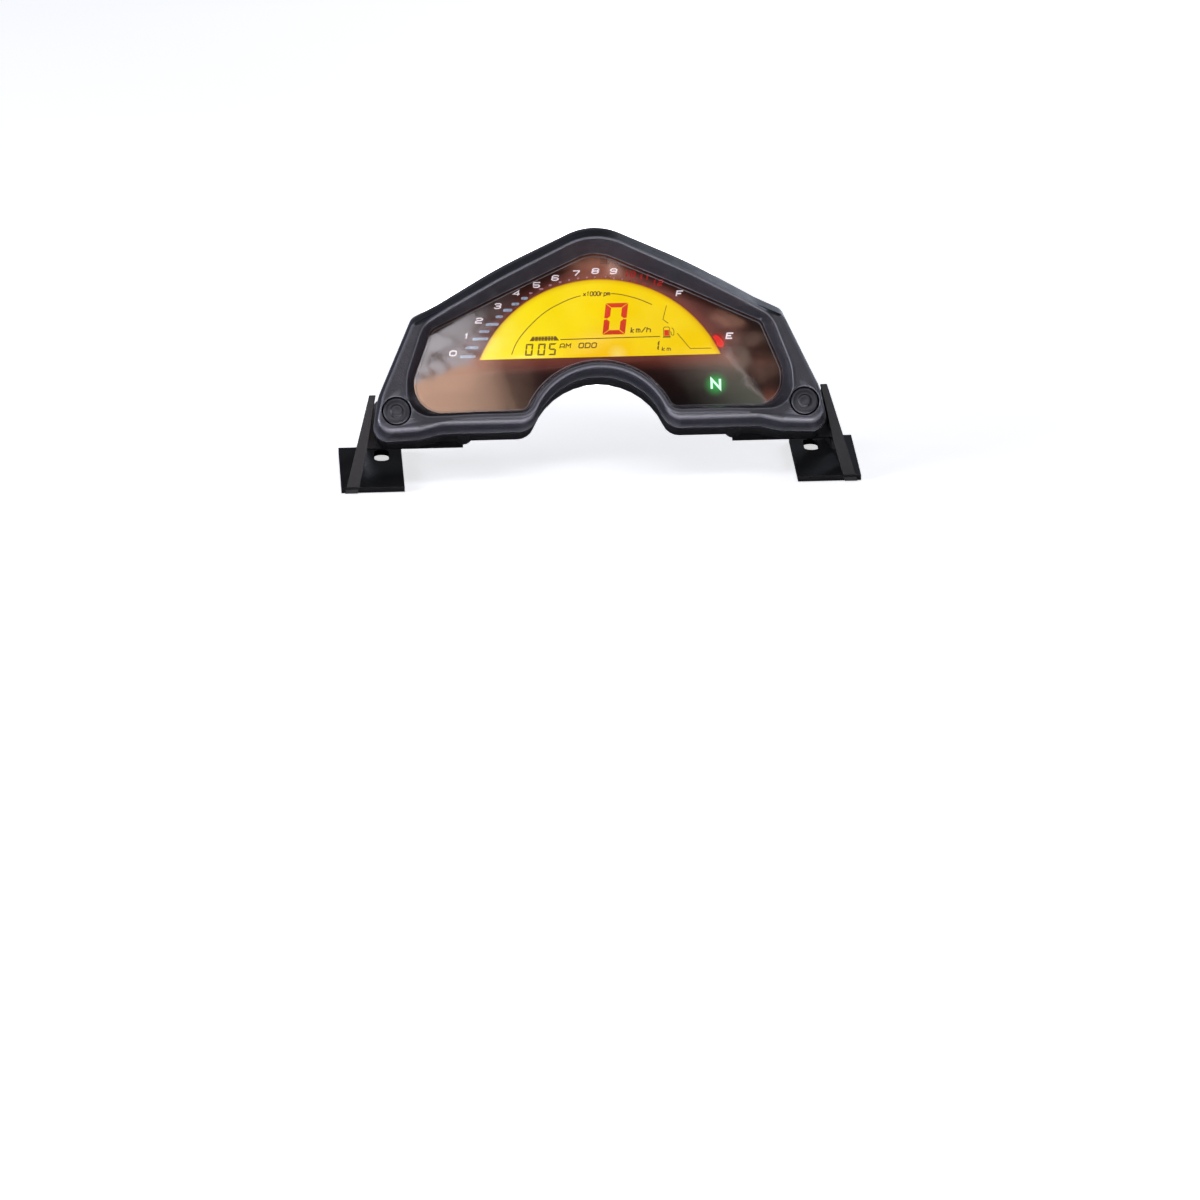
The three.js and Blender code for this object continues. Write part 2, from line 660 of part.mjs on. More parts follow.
function makeMountFixings() {
  const boss = MOUNT_BOSS_Z - GAP;
  const [plateBack, plateFront] = [PLATE_Z[0] - GAP, PLATE_Z[1] + GAP];
  const spoolBack = plateBack - 1.9;
  const flange = spoolBack - GAP;
  const head = flange - 1.2 - GAP;
  BRACKET_MOUNTS.forEach(([x, y], i) => {
    const spool = ringOf([
      [4.1, boss],
      [8, boss],
      [8, plateFront],
      [5.6, plateFront],
      [5.6, plateBack],
      [8, plateBack],
      [8, spoolBack],
      [4.1, spoolBack],
    ]);
    part(`mount_grommet_${i + 1}`, plastic(0x101010, 0.95), turned(x, y, spool, 14));
    const collar = ringOf([
      [2.8, boss],
      [3.8, boss],
      [3.8, flange],
      [7.6, flange],
      [7.6, flange - 1.2],
      [2.8, flange - 1.2],
    ]);
    part(`mount_collar_${i + 1}`, metal(0xb5b8bd, 0.3), turned(x, y, collar, 14));
    const washer = rod(x, y, 5.6, [head - 1.2, head], 18);
    const hexagon = rod(x, y, 4.4, [head - 4.4, head], 6);
    const shank = rod(x, y, 2.4, [head - 1, -35], 12);
    part(`mount_bolt_${i + 1}`, metal(0x9a9da2, 0.3), union([washer, hexagon, shank]));
  });
}

/** One leg of the bracket: a splayed side plate, the ear in front of it, and a foot. */
function bracketLeg(side) {
  const [topX, topY] = LEG_TOP;
  const ear = -20;
  const plate = [
    [-ear, topY],
    [-PLATE_Z[0], topY],
    [76, -4],
    [60, -50],
    [-ear, -50],
  ];
  const window = [
    [34, -2],
    [52, -6],
    [52, -11],
    [34, -21],
  ];
  const leg = extruded(plate, PLATE, [window]).rotateY(Math.PI / 2);
  leg.translate(-PLATE, -topY, 0).rotateZ(LEG_SPLAY).translate(topX, topY, 0);
  const splayed = (y) => topX + (topY - y) * Math.tan(LEG_SPLAY);
  const earEdge = [
    [98.6, topY],
    [topX, topY],
    [splayed(-44), -44],
    [splayed(-44) - 6, -44],
    [103.4, -14],
    [100.3, 4],
  ];
  const foot = levelBlock(FOOT_X, FOOT_Y, [FOOT_LEVEL, FOOT_LEVEL + PLATE]);
  const slot = levelSlot(96, FOOT_BOLT_Y, 3.3, [FOOT_LEVEL - 5, FOOT_LEVEL + 5]);
  const front = prism(earEdge, [ear - PLATE, ear]);
  const right = union([solid(leg), front, foot]).subtract(slot);
  return side > 0 ? right : right.mirror([1, 0, 0]);
}

function makeBracket() {
  const band = mirrorAcross([
    [16, 66],
    [86, 26],
    [101.4, 11],
    [106.2, -7],
    [60, -7],
    [60, 20],
    [20, 45.2],
  ]);
  const holes = BRACKET_MOUNTS.map(([x, y]) => rod(x, y, 5.9, [-60, -40]));
  const ground = levelBlock([-200, 200], [-100, 200], [FOOT_LEVEL - 60, FOOT_LEVEL]);
  const legs = SIDES.map(([, side]) => bracketLeg(side));
  const sheet = union([prism(band, PLATE_Z), ...legs]);
  const body = sheet.subtract(union([...holes, ground]));
  part("mounting_bracket", metal(0x1a1a1b, 0.5), body);
}

// ---------------------------------------------------------------- assembly

makeBezel();
makeWindow();
makeDisplay();
makeDisplayFrame();
makeBoard();
makeComponents();
makeRearCase();
makeCaseFittings();
for (const [name, side] of SIDES) makeButton(name, side * BUTTON_X);
makeMountFixings();
makeBracket();

dial.rotation.x = Math.PI / 2 - DIAL_LEAN;
const cluster = new THREE.Group();
cluster.add(dial);
cluster.updateMatrixWorld(true);
const extent = new THREE.Box3().setFromObject(dial, true);
const middle = extent.getCenter(new THREE.Vector3());
cluster.position.set(-middle.x, -middle.y, -extent.min.z);

export default cluster;
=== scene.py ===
"""Looks of the motorcycle instrument cluster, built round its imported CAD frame.

Drawing code works in millimetres in the dial's own frame: x to the rider's right, y up the dial
from the line through the two buttons, z out of the dial towards the rider. TO_ROW takes those
points into the row frame, in metres.
"""

import functools
import json
import math

import bpy
from mathutils import Matrix, Vector


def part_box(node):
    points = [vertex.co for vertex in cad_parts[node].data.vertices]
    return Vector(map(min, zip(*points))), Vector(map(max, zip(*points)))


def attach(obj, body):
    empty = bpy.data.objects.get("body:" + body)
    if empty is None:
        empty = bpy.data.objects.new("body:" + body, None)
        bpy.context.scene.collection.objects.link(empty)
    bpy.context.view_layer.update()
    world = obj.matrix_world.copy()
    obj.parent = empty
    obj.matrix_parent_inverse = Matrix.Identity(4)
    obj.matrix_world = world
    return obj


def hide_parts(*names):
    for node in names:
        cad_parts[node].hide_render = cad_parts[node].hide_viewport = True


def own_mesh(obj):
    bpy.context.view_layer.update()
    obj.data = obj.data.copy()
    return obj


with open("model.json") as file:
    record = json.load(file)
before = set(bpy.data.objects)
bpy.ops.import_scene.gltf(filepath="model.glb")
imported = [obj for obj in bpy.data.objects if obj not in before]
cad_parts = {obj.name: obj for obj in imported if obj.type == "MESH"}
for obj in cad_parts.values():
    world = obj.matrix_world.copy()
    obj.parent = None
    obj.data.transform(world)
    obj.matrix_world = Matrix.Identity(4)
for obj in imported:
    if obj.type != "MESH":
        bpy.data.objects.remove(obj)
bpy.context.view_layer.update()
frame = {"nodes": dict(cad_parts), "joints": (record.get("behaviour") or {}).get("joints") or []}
nodes = frame["nodes"]

# ---- the dial's frame

MM = 0.001
GUIDE_Z = -10.25  # middle of the button guides, below the faces of the wings
BUTTON_XS = {"left": -90, "right": 90}

WINDOW_Z = -14.2  # front of the window
MASK_Z = -16.5
PRINT = (MASK_Z + 0.01, MASK_Z + 0.06)
LCD_Z = -17.3
SEGMENTS = (LCD_Z + 0.02, LCD_Z + 0.1)
LCD_CENTRE = (1.2, 3.4)
LCD_RADIUS = 58.2
LCD_CHORD = 26
LCD_GLOW = 1.15

ARTWORK_SHIFT = (1.05, 3.8)  # from the drawn artwork's own zero to the dial's


def middle(node):
    low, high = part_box(node)
    return (low + high) / 2


press_axis = next(j["axis"] for j in frame["joints"] if j["name"] == "left_button_press")
OUT = -Vector(press_axis).normalized()
RIGHT = Vector((1, 0, 0))
UP = OUT.cross(RIGHT)
ORIGIN = (middle("left_button_guide") + middle("right_button_guide")) / 2 - OUT * GUIDE_Z * MM
TURN = Matrix((RIGHT, UP, OUT)).transposed()
TO_ROW = Matrix.Translation(ORIGIN) @ TURN.to_4x4() @ Matrix.Scale(MM, 4)


# ---- materials


def rgb(tone):
    """A colour; a grey may be given as one number."""
    return tone if isinstance(tone, (tuple, list)) else (tone,) * 3


class Graph:
    """The nodes of a material, or of the world, being drawn."""

    def __init__(self, name, owner=None):
        self.owner = owner or bpy.data.materials.new(name)
        self.owner.use_nodes = True
        self.tree = self.owner.node_tree
        self.tree.nodes.clear()

    def node(self, kind, sockets=None, **properties):
        made = self.tree.nodes.new("ShaderNode" + kind)
        for name, value in properties.items():
            setattr(made, name, value)
        for name, value in (sockets or {}).items():
            if isinstance(value, bpy.types.NodeSocket):
                self.tree.links.new(value, made.inputs[name])
            else:
                made.inputs[name].default_value = value
        return made

    def dial(self, stretch=(1, 1, 1)):
        """The surface point in dial millimetres, stretched along the dial's axes."""
        where = self.node("TexCoord").outputs["Object"]
        scale = [MM / s for s in stretch]
        sockets = {"Vector": where, "Location": ORIGIN, "Rotation": TURN.to_euler(), "Scale": scale}
        return self.node("Mapping", sockets, vector_type="TEXTURE").outputs[0]

    @functools.cached_property
    def at(self):
        return self.dial()

    def axes(self, vector=None):
        return self.node("SeparateXYZ", {0: vector or self.at}).outputs

    def noise(self, size, detail=2.0, roughness=0.5, at=None):
        sockets = {"Vector": at or self.at, "Scale": 1 / size, "Detail": detail,
                   "Roughness": roughness}
        return self.node("TexNoise", sockets).outputs["Fac"]

    def cells(self, size):
        return self.node("TexVoronoi", {"Vector": self.at, "Scale": 1 / size}).outputs["Distance"]

    def math(self, operation, a, b=0.0):
        return self.node("Math", {0: a, 1: b}, operation=operation).outputs[0]

    def plus(self, a, b):
        return self.math("ADD", a, b)

    def minus(self, a, b):
        return self.math("SUBTRACT", a, b)

    def times(self, first, *others):
        for other in others:
            first = self.math("MULTIPLY", first, other)
        return first

    def span(self, value, low, high, start=0.0, end=1.0):
        """Runs from low to high as the value goes from start to end."""
        sockets = {"Value": value, 1: start, 2: end, 3: low, 4: high}
        return self.node("MapRange", sockets).outputs["Result"]

    def swing(self, noise, low, high):
        """Runs from low to high over the middle of a noise."""
        return self.span(noise, low, high, 0.3, 0.7)

    def ramp(self, value, *stops):
        made = self.node("ValToRGB", {"Fac": value})
        elements = made.color_ramp.elements
        while len(elements) < len(stops):
            elements.new(0.5)
        for element, (at, tone) in zip(elements, stops):
            element.position = at
            element.color = (*rgb(tone), 1)
        return made.outputs["Color"]

    def blend(self, share, a, b):
        sockets = {"Fac": share}
        for name, value in (("Color1", a), ("Color2", b)):
            sockets[name] = value if isinstance(value, bpy.types.NodeSocket) else (*rgb(value), 1)
        return self.node("MixRGB", sockets).outputs["Color"]

    def bump(self, height, depth):
        """A normal from a height of 0 to 1 that stands for depth millimetres."""
        return self.node("Bump", {"Height": height, "Distance": depth * MM}).outputs["Normal"]

    def along(self, direction):
        """How far the point lies in a direction on the dial's face."""
        x, y, _ = self.axes()
        return self.plus(self.times(x, direction[0]), self.times(y, direction[1]))

    def distance(self, x, y):
        """How far the point is from a line out of the dial at x, y."""
        at_x, at_y, _ = self.axes()
        dx, dy = self.minus(at_x, x), self.minus(at_y, y)
        return self.math("SQRT", self.plus(self.times(dx, dx), self.times(dy, dy)))

    def surface(self, tone, roughness, **sockets):
        named = {name.replace("_", " "): value for name, value in sockets.items()}
        named.update({"Base Color": tone, "Roughness": roughness})
        return self.node("BsdfPrincipled", named).outputs[0]

    def light(self, colour, strength):
        return self.node("Emission", {"Color": colour, "Strength": strength}).outputs[0]

    def mix(self, share, a, b):
        return self.node("MixShader", {0: share, 1: a, 2: b}).outputs[0]

    def done(self, shader, output="OutputMaterial"):
        self.node(output, {"Surface": shader})
        return self.owner

    def coat(self, tone, roughness, *relief, **sockets):
        """Finishes a material that is one principled surface; relief is a height and its depth."""
        if relief:
            sockets["Normal"] = self.bump(*relief)
        return self.done(self.surface(tone, roughness, **sockets))


def moulded(name, dark, light, roughness, grain=0.45, depth=0.012, edge_wear_and_highlight=0.0):
    """Moulded plastic: eroded grain, a slow drift of colour, a little dust, and sharp edges made
    lighter, partly as wear and partly as a painted highlight.
    """
    g = Graph(name)
    drift, speck = g.noise(14, 3), g.noise(0.9, 4, 0.7)
    tone = g.ramp(g.plus(g.times(drift, 0.7), g.times(speck, 0.3)), (0.3, dark), (0.7, light))
    pits = g.plus(g.cells(grain), g.noise(grain / 2))
    finish = g.swing(g.noise(5, 4), roughness - 0.06, roughness + 0.07)
    if edge_wear_and_highlight:
        # Sharp edges turn lighter and glossier: wear from rubbing, and also a painted highlight
        # along crests and lips.
        sharp = g.node("NewGeometry").outputs["Pointiness"]
        rubbed_and_highlit = g.span(sharp, 0, edge_wear_and_highlight, 0.508, 0.56)
        tone = g.blend(rubbed_and_highlit, tone, (0.17, 0.17, 0.19))
        finish = g.minus(finish, g.times(rubbed_and_highlit, 0.08))
    return g.coat(tone, finish, pits, depth)


def rubber(name, dark, light):
    """Rubber: dull, dusty, with faint flow marks."""
    g = Graph(name)
    dust = g.noise(0.7, 5, 0.7)
    flow = g.noise(3, 3, at=g.dial((1, 5, 1)))
    tone = g.ramp(dust, (0.42, dark), (0.75, light))
    return g.coat(tone, g.swing(dust, 0.7, 0.92), flow, 0.05)


def plated(name, dark, light, roughness):
    """Plated steel: brushed one way, with darker spots where the plating is thin."""
    g = Graph(name)
    brushed = g.noise(0.4, 3, at=g.dial((1, 1, 14)))
    tone = g.ramp(g.noise(2.4, 4), (0.3, dark), (0.65, light))
    finish = g.swing(brushed, roughness - 0.07, roughness + 0.12)
    return g.coat(tone, finish, brushed, 0.004, Metallic=1.0)


def painted(name):
    """Satin black paint on pressed steel: orange peel, scuffs and fine dust."""
    g = Graph(name)
    peel = g.noise(1.1, 1)
    scuff = g.noise(1.6, 6, 0.75, at=g.dial((1, 9, 1)))
    tone = g.ramp(scuff, (0.55, (0.008, 0.008, 0.009)), (0.85, (0.035, 0.035, 0.037)))
    return g.coat(tone, g.span(scuff, 0.33, 0.6, 0.4, 0.75), peel, 0.03)


def laminate(name):
    """Circuit board: solder mask over tracks, with plated vias."""
    g = Graph(name)
    sockets = {"Vector": g.at, "Scale": 0.32, "Mortar Size": 0.05, "Mortar Smooth": 0.1,
               "Color1": (0, 0, 0, 1), "Color2": (0, 0, 0, 1), "Mortar": (1, 1, 1, 1)}
    tracks = g.node("TexBrick", sockets).outputs["Color"]
    vias = g.ramp(g.cells(3.1), (0.1, 1), (0.13, 0))
    green = g.ramp(g.noise(3, 3), (0.3, (0.008, 0.07, 0.025)), (0.7, (0.014, 0.1, 0.036)))
    tone = g.blend(tracks, green, (0.03, 0.19, 0.07))
    tone = g.blend(vias, tone, (0.75, 0.62, 0.36))
    return g.coat(tone, g.span(tracks, 0.3, 0.42), tracks, 0.03)


def epoxy(name, dark, light, mark=None):
    """Chip or lamp body: fine glassy filler in cast resin, glowing in mark where it is lit."""
    g = Graph(name)
    filler = g.noise(0.12, 4, 0.8)
    tone = g.ramp(filler, (0.35, dark), (0.7, light))
    lit = {"Emission_Color": (*mark, 1), "Emission_Strength": 0.5} if mark else {}
    finish = g.swing(g.noise(0.8, 3), 0.4, 0.62)
    return g.coat(tone, finish, filler, 0.01, **lit)


def film(name, dark, light):
    """Glass or film inside the display: tinted, with a faint cloud."""
    g = Graph(name)
    tone = g.ramp(g.noise(9, 3), (0.3, dark), (0.7, light))
    return g.coat(tone, g.swing(g.noise(1.5, 3), 0.12, 0.24), tone, 0.002)


def smoked(name):
    """The window: smoked polycarbonate that shows the dial and a soft mirror of the room."""
    g = Graph(name)
    tint = g.ramp(g.noise(26, 3), (0.35, (0.95, 0.93, 0.92)), (0.65, (0.98, 0.965, 0.96)))
    through = g.node("BsdfTransparent", {"Color": tint}).outputs[0]
    finish = g.swing(g.noise(2.2, 5, 0.7), 0.012, 0.04)
    ripple = g.bump(g.noise(18, 2), 0.03)
    mirror = g.node("BsdfGlossy", {"Roughness": finish, "Normal": ripple}).outputs[0]
    edge_on = g.node("LayerWeight", {"Blend": 0.5, "Normal": ripple}).outputs["Facing"]
    share = g.span(g.math("POWER", edge_on, 5.0), 0.05, 1.0)
    return g.done(g.mix(share, through, mirror))


def mask_ink(name):
    """The dial's printed face: maroon with a fine mesh, painted with a spill of backlight that is
    reddest at the display and browner away from it, and with a painted reflection at the top.
    """
    g = Graph(name)
    rim = g.distance(*LCD_CENTRE)
    # Painted backlight spill: reddest at the display's arc, fading to the mask's own browner
    # maroon.
    upper_tone_and_spill = g.ramp(g.span(rim, 0, 1, LCD_RADIUS, LCD_RADIUS + 26), (0.0, (0.24, 0.066, 0.045)),
                  (0.16, (0.13, 0.044, 0.033)), (0.45, (0.09, 0.036, 0.028)),
                  (1.0, (0.08, 0.05, 0.042)))
    # Painted reflection: a warm light patch at the top middle of the dial.
    upper_tone_and_spill = g.blend(g.span(g.distance(4, 74), 0.7, 0, 2, 22), upper_tone_and_spill, (0.6, 0.22, 0.13))
    y = g.axes()["Y"]
    # Painted spill beneath the display: dark low down, red just below its lower edge.
    lower_tone_and_spill = g.ramp(g.span(y, 0, 1, 2, LCD_CHORD), (0.1, (0.035, 0.024, 0.026)),
                   (0.7, (0.07, 0.032, 0.028)), (1.0, (0.3, 0.07, 0.042)))
    beside = g.times(g.span(rim, 0, 1, LCD_RADIUS - 2, LCD_RADIUS + 6),
                     g.span(y, 0, 1, 12, LCD_CHORD))
    lower_tone_and_spill = g.blend(beside, lower_tone_and_spill, upper_tone_and_spill)
    tone = g.blend(g.span(y, 1, 0, LCD_CHORD - 1, LCD_CHORD + 1), upper_tone_and_spill, lower_tone_and_spill)
    finish = g.swing(g.noise(1.2, 3), 0.45, 0.6)
    # The face also glows faintly in this tone, painted spill included, standing in for backlight
    # through it.
    return g.coat(tone, finish, g.cells(0.35), 0.01, Specular_IOR_Level=0.25,
                  Emission_Color=tone, Emission_Strength=0.15)


def backlit(name):
    """The display's face: amber backlight, lemon on the left and deepest low in the middle."""
    g = Graph(name)
    tone = g.ramp(g.span(g.axes()["X"], 0, 1, -58, 58), (0.0, (0.99, 0.86, 0.02)),
                  (0.3, (0.98, 0.78, 0.006)), (0.55, (0.96, 0.7, 0.004)),
                  (1.0, (0.92, 0.62, 0.004)))
    tone = g.blend(g.span(g.distance(2, 16), 0.75, 0, 8, 26), tone, (0.97, 0.5, 0.005))
    tone = g.blend(g.span(g.distance(9, 27), 0.6, 0, 0, 5), tone, (1.0, 0.86, 0.25))
    tone = g.blend(g.span(g.noise(17, 3), 0, 0.3, 0.4, 0.72), tone, (0.96, 0.8, 0.05))
    rim = g.span(g.distance(*LCD_CENTRE), 0, 1, LCD_RADIUS - 2.4, LCD_RADIUS + 0.2)
    tone = g.blend(g.ramp(rim, (0.0, 0), (0.65, 0.25), (1.0, 1)), tone, (0.5, 0.13, 0.008))
    grain = g.noise(0.16, 2)
    glow = g.swing(grain, LCD_GLOW - 0.05, LCD_GLOW + 0.05)
    return g.coat(g.blend(0.9, tone, 0), 0.35, grain, 0.004, Emission_Color=tone,
                  Emission_Strength=glow)


def ink(name, colour, glow=0.0, uneven=0.12):
    """Printed or driven artwork, with the slight unevenness of a screened layer."""
    g = Graph(name)
    wash = g.noise(0.8, 3)
    tone = g.ramp(wash, (0.35, [c * (1 - uneven) for c in colour]), (0.65, colour))
    lit = {"Emission_Color": tone, "Emission_Strength": glow} if glow else {}
    return g.coat(tone, g.swing(wash, 0.4, 0.55), **lit)


def halo(name, colour, x, y, reach, strength):
    """Light spilling round a lamp: brightest at x, y and gone at reach."""
    g = Graph(name)
    fall = g.math("POWER", g.span(g.distance(x, y), 1, 0, 0, reach), 2.2)
    share = g.times(fall, g.swing(g.noise(0.5, 2), 0.85, 1.0), strength)
    clear = g.node("BsdfTransparent").outputs[0]
    return g.done(g.mix(share, clear, g.light((*colour, 1), 1.0)))


# ---- drawing


def placed(name, data):
    """A new object of this data, put in the scene."""
    made = bpy.data.objects.new(name, data)
    bpy.context.scene.collection.objects.link(made)
    return made


class Drawing:
    """Closed bodies in dial millimetres, gathered into one piece."""

    def __init__(self):
        self.points = []
        self.faces = []

    def rows(self, rows, closed=False):
        """Skins rings of points; each end row is closed with one face unless the skin closes."""
        start, count, last = len(self.points), len(rows[0]), len(rows) - 1
        for band in range(len(rows) if closed else last):
            low, high = start + band * count, start + (band + 1) % len(rows) * count
            for i in range(count):
                j = (i + 1) % count
                self.faces.append([low + i, low + j, high + j, high + i])
        if not closed:
            self.faces.append([start + i for i in reversed(range(count))])
            self.faces.append([start + last * count + i for i in range(count)])
        self.points += [tuple(p) for row in rows for p in row]
        return self

    def plate(self, outline, levels):
        """A flat plate of an anticlockwise outline."""
        return self.rows([[(x, y, z) for x, y in outline] for z in levels])

    def ribbon(self, line, width, levels):
        """A flat line of one width; it is a loop where its ends meet."""
        points = [Vector(p) for p in line]
        loop = (points[0] - points[-1]).length < 1e-6
        if loop:
            points.pop()
        count = len(points)
        sides = []
        for i, point in enumerate(points):
            before = points[i - 1] if loop or i else None
            after = points[(i + 1) % count] if loop or i + 1 < count else None
            along = [(b - a).normalized() for a, b in ((before, point), (point, after)) if a and b]
            lean = sum(along, Vector((0, 0))).normalized()
            reach = width / 2 / max(0.4, lean.dot(along[0]))
            across = Vector((-lean.y, lean.x)) * reach
            sides.append((point + across, point - across))
        low, high = levels
        return self.rows([[(*left, high), (*right, high), (*right, low), (*left, low)]
                          for left, right in sides], closed=loop)

    def turned(self, x, y, profile, sides=64, closed=False):
        """Turns (radius, z) points about the axis at x, y. A radius may be a function of angle."""
        rings = []
        for radius, z in profile:
            ring = []
            for i in range(sides):
                angle = math.tau * i / sides
                r = radius(angle) if callable(radius) else radius
                ring.append((x + r * math.cos(angle), y + r * math.sin(angle), z))
            rings.append(ring)
        return self.rows(rings, closed)

    def box(self, xs, ys, zs, taper=0.0):
        """A block, drawn in by taper at its second z."""
        (x0, x1), (y0, y1) = xs, ys
        rows = [[(x0 + t, y0 + t, z), (x1 - t, y0 + t, z), (x1 - t, y1 - t, z), (x0 + t, y1 - t, z)]
                for z, t in zip(zs, (0, taper))]
        return self.rows(rows if zs[0] < zs[1] else rows[::-1])

    def piece(self, name, material, body="cluster", slot=None, replaces=(), crease=35, round_off=0):
        mesh = bpy.data.meshes.new(name)
        mesh.from_pydata(self.points, [], self.faces)
        mesh.transform(TO_ROW)
        mesh.materials.append(material)
        made = placed(name, mesh)
        dress(made, crease, round_off)
        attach(made, body)
        if replaces:
            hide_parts(*replaces)
        return made


def modify(thing, kind, **settings):
    """Adds a modifier of this kind."""
    made = thing.modifiers.new(kind.lower(), kind)
    for name, value in settings.items():
        setattr(made, name, value)


def dress(thing, crease=35, round_off=0.0):
    """Smooth shading between creases, with creased edges rounded off by so many millimetres."""
    mesh = thing.data
    if "custom_normal" in mesh.attributes:
        mesh.attributes.remove(mesh.attributes["custom_normal"])
    mesh.shade_smooth()
    modify(thing, "WELD", merge_threshold=1e-6)
    if round_off:
        modify(thing, "BEVEL", width=round_off * MM, segments=3, limit_method="ANGLE",
               angle_limit=math.radians(crease), use_clamp_overlap=True, harden_normals=True)
        modify(thing, "WEIGHTED_NORMAL", keep_sharp=True, weight=100)
    else:
        mesh.set_sharp_from_angle(angle=math.radians(crease))


# Strokes of each character on a grid 4 wide and 6 high, as x y pairs; a and b are below the line,
# and | lifts the pen.
STROKES = {
    "0": "10 30 41 45 36 16 05 01 10",
    "O": "10 30 41 45 36 16 05 01 10",
    "1": "15 26 20",
    "2": "05 16 36 45 44 33 13 02 00 40",
    "3": "05 16 36 45 44 33 42 41 30 10 01|13 33",
    "4": "30 36 02 42",
    "5": "46 06 03 33 42 41 30 10 01",
    "6": "45 36 16 05 01 10 30 41 42 33 03",
    "7": "06 46 45 20",
    "8": "13 04 05 16 36 45 44 33 13 02 01 10 30 41 42 33",
    "9": "01 10 30 41 45 36 16 05 04 13 43",
    "F": "00 06 46|03 33",
    "E": "40 00 06 46|03 33",
    "N": "00 06 40 46",
    "A": "00 05 16 36 45 40|02 42",
    "M": "00 06 23 46 40",
    "D": "00 06 36 45 41 30 00",
    "k": "00 06|34 02 30",
    "m": "00 04 34 43 40|24 20",
    "h": "00 06|04 34 43 40",
    "r": "00 04 34",
    "p": "0a 04 34 43 41 30 00",
    "x": "00 44|04 40",
    "/": "00 46",
}
GRID_ROWS = "ab0123456"
PITCH = 1.42  # from one character to the next, in widths
LIT = {"0": "abcdef", "1": "bc", "5": "acdfg"}
DIGIT_LEAN = math.tan(math.radians(8))


def shifted(points):
    return [(x + ARTWORK_SHIFT[0], y + ARTWORK_SHIFT[1]) for x, y in points]


class Artwork(Drawing):
    """Flat artwork between two levels, measured from the artwork's own zero."""

    def __init__(self, levels):
        super().__init__()
        self.levels = levels

    def patch(self, points):
        return self.plate(shifted(points), self.levels)

    def line(self, points, width):
        return self.ribbon(shifted(points), width, self.levels)

    def loop(self, points, width):
        return self.line([*points, points[0]], width)

    def dash(self, left, right, y, height):
        """A tick with rounded ends, leaning like the numerals."""
        r = height / 2
        outline = []
        for x, start in ((right - r, -90), (left + r, 90)):
            for k in range(7):
                angle = math.radians(start + 30 * k)
                outline.append((x + r * math.cos(angle), y + r * math.sin(angle)))
        return self.patch([(x + (py - y) * 0.2, py) for x, py in outline])

    def write(self, text, x, y, height, aspect, weight, slant=14):
        """Writes text with its lower left corner at x, y."""
        unit = height / 6
        lean = math.tan(math.radians(slant))
        wide = height * aspect
        for character in text:
            for stroke in STROKES[character].split("|"):
                line = []
                for token in stroke.split():
                    across = int(token[0]) / 4 * wide
                    up = (GRID_ROWS.index(token[1]) - 2) * unit
                    line.append((x + across + up * lean, y + up))
                self.line(line, height * weight)
            x += wide * PITCH
        return self

    def digit(self, digit, x, y, size, strokes, gap):
        """One segmented digit with its lower left corner at x, y.

        size is its width and height, and strokes the widths of its upright and level segments.
        """
        (w, h), (u, v), s = size, strokes, gap
        m = h / 2
        corner = [(0, m + 2 * s), (u / 2, m + s), (u, m + v / 2 + s), (u, h - v - s), (0, h - s)]
        top = [(u + s, h - v), (w - u - s, h - v), (w - s, h - s / 2), (w - 3 * s, h), (3 * s, h),
               (s, h - s / 2)]
        bar = [(u / 2 + s, m), (u + s, m - v / 2), (w - u - s, m - v / 2), (w - u / 2 - s, m),
               (w - u - s, m + v / 2), (u + s, m + v / 2)]

        def low(shape):
            return [(x, h - y) for x, y in reversed(shape)]

        def right(shape):
            return [(w - x, y) for x, y in reversed(shape)]

        shapes = {"a": top, "b": right(corner), "c": right(low(corner)), "d": low(top),
                  "e": low(corner), "f": corner, "g": bar}
        for name in LIT[digit]:
            self.patch([(x + px + py * DIGIT_LEAN, y + py) for px, py in shapes[name]])
        return self


def smooth(points, steps=8):
    """A curve through the points."""
    ends = [Vector(p) for p in (points[0], *points, points[-1])]
    out = []
    for a, b, c, d in zip(ends, ends[1:], ends[2:], ends[3:]):
        for step in range(steps):
            t = step / steps
            out.append((2 * b + (c - a) * t + (2 * a - 5 * b + 4 * c - d) * t**2
                        + (3 * b - a - 3 * c + d) * t**3) / 2)
    return [*out, points[-1]]


# ---- display artwork

segment_ink = ink("segment_olive", (0.2, 0.105, 0.004), glow=0.5)
digit_ink = ink("segment_red", (0.62, 0.032, 0.0), glow=0.82)

LABEL_BAR = (30.3, 32.3)  # bottom and top of the notched bar over the clock
NOTCHES = [-28.5, -26.9, -25.6, -24.3, -22.7, -21.4, -20.2]
NOTCH_GAP = 0.32


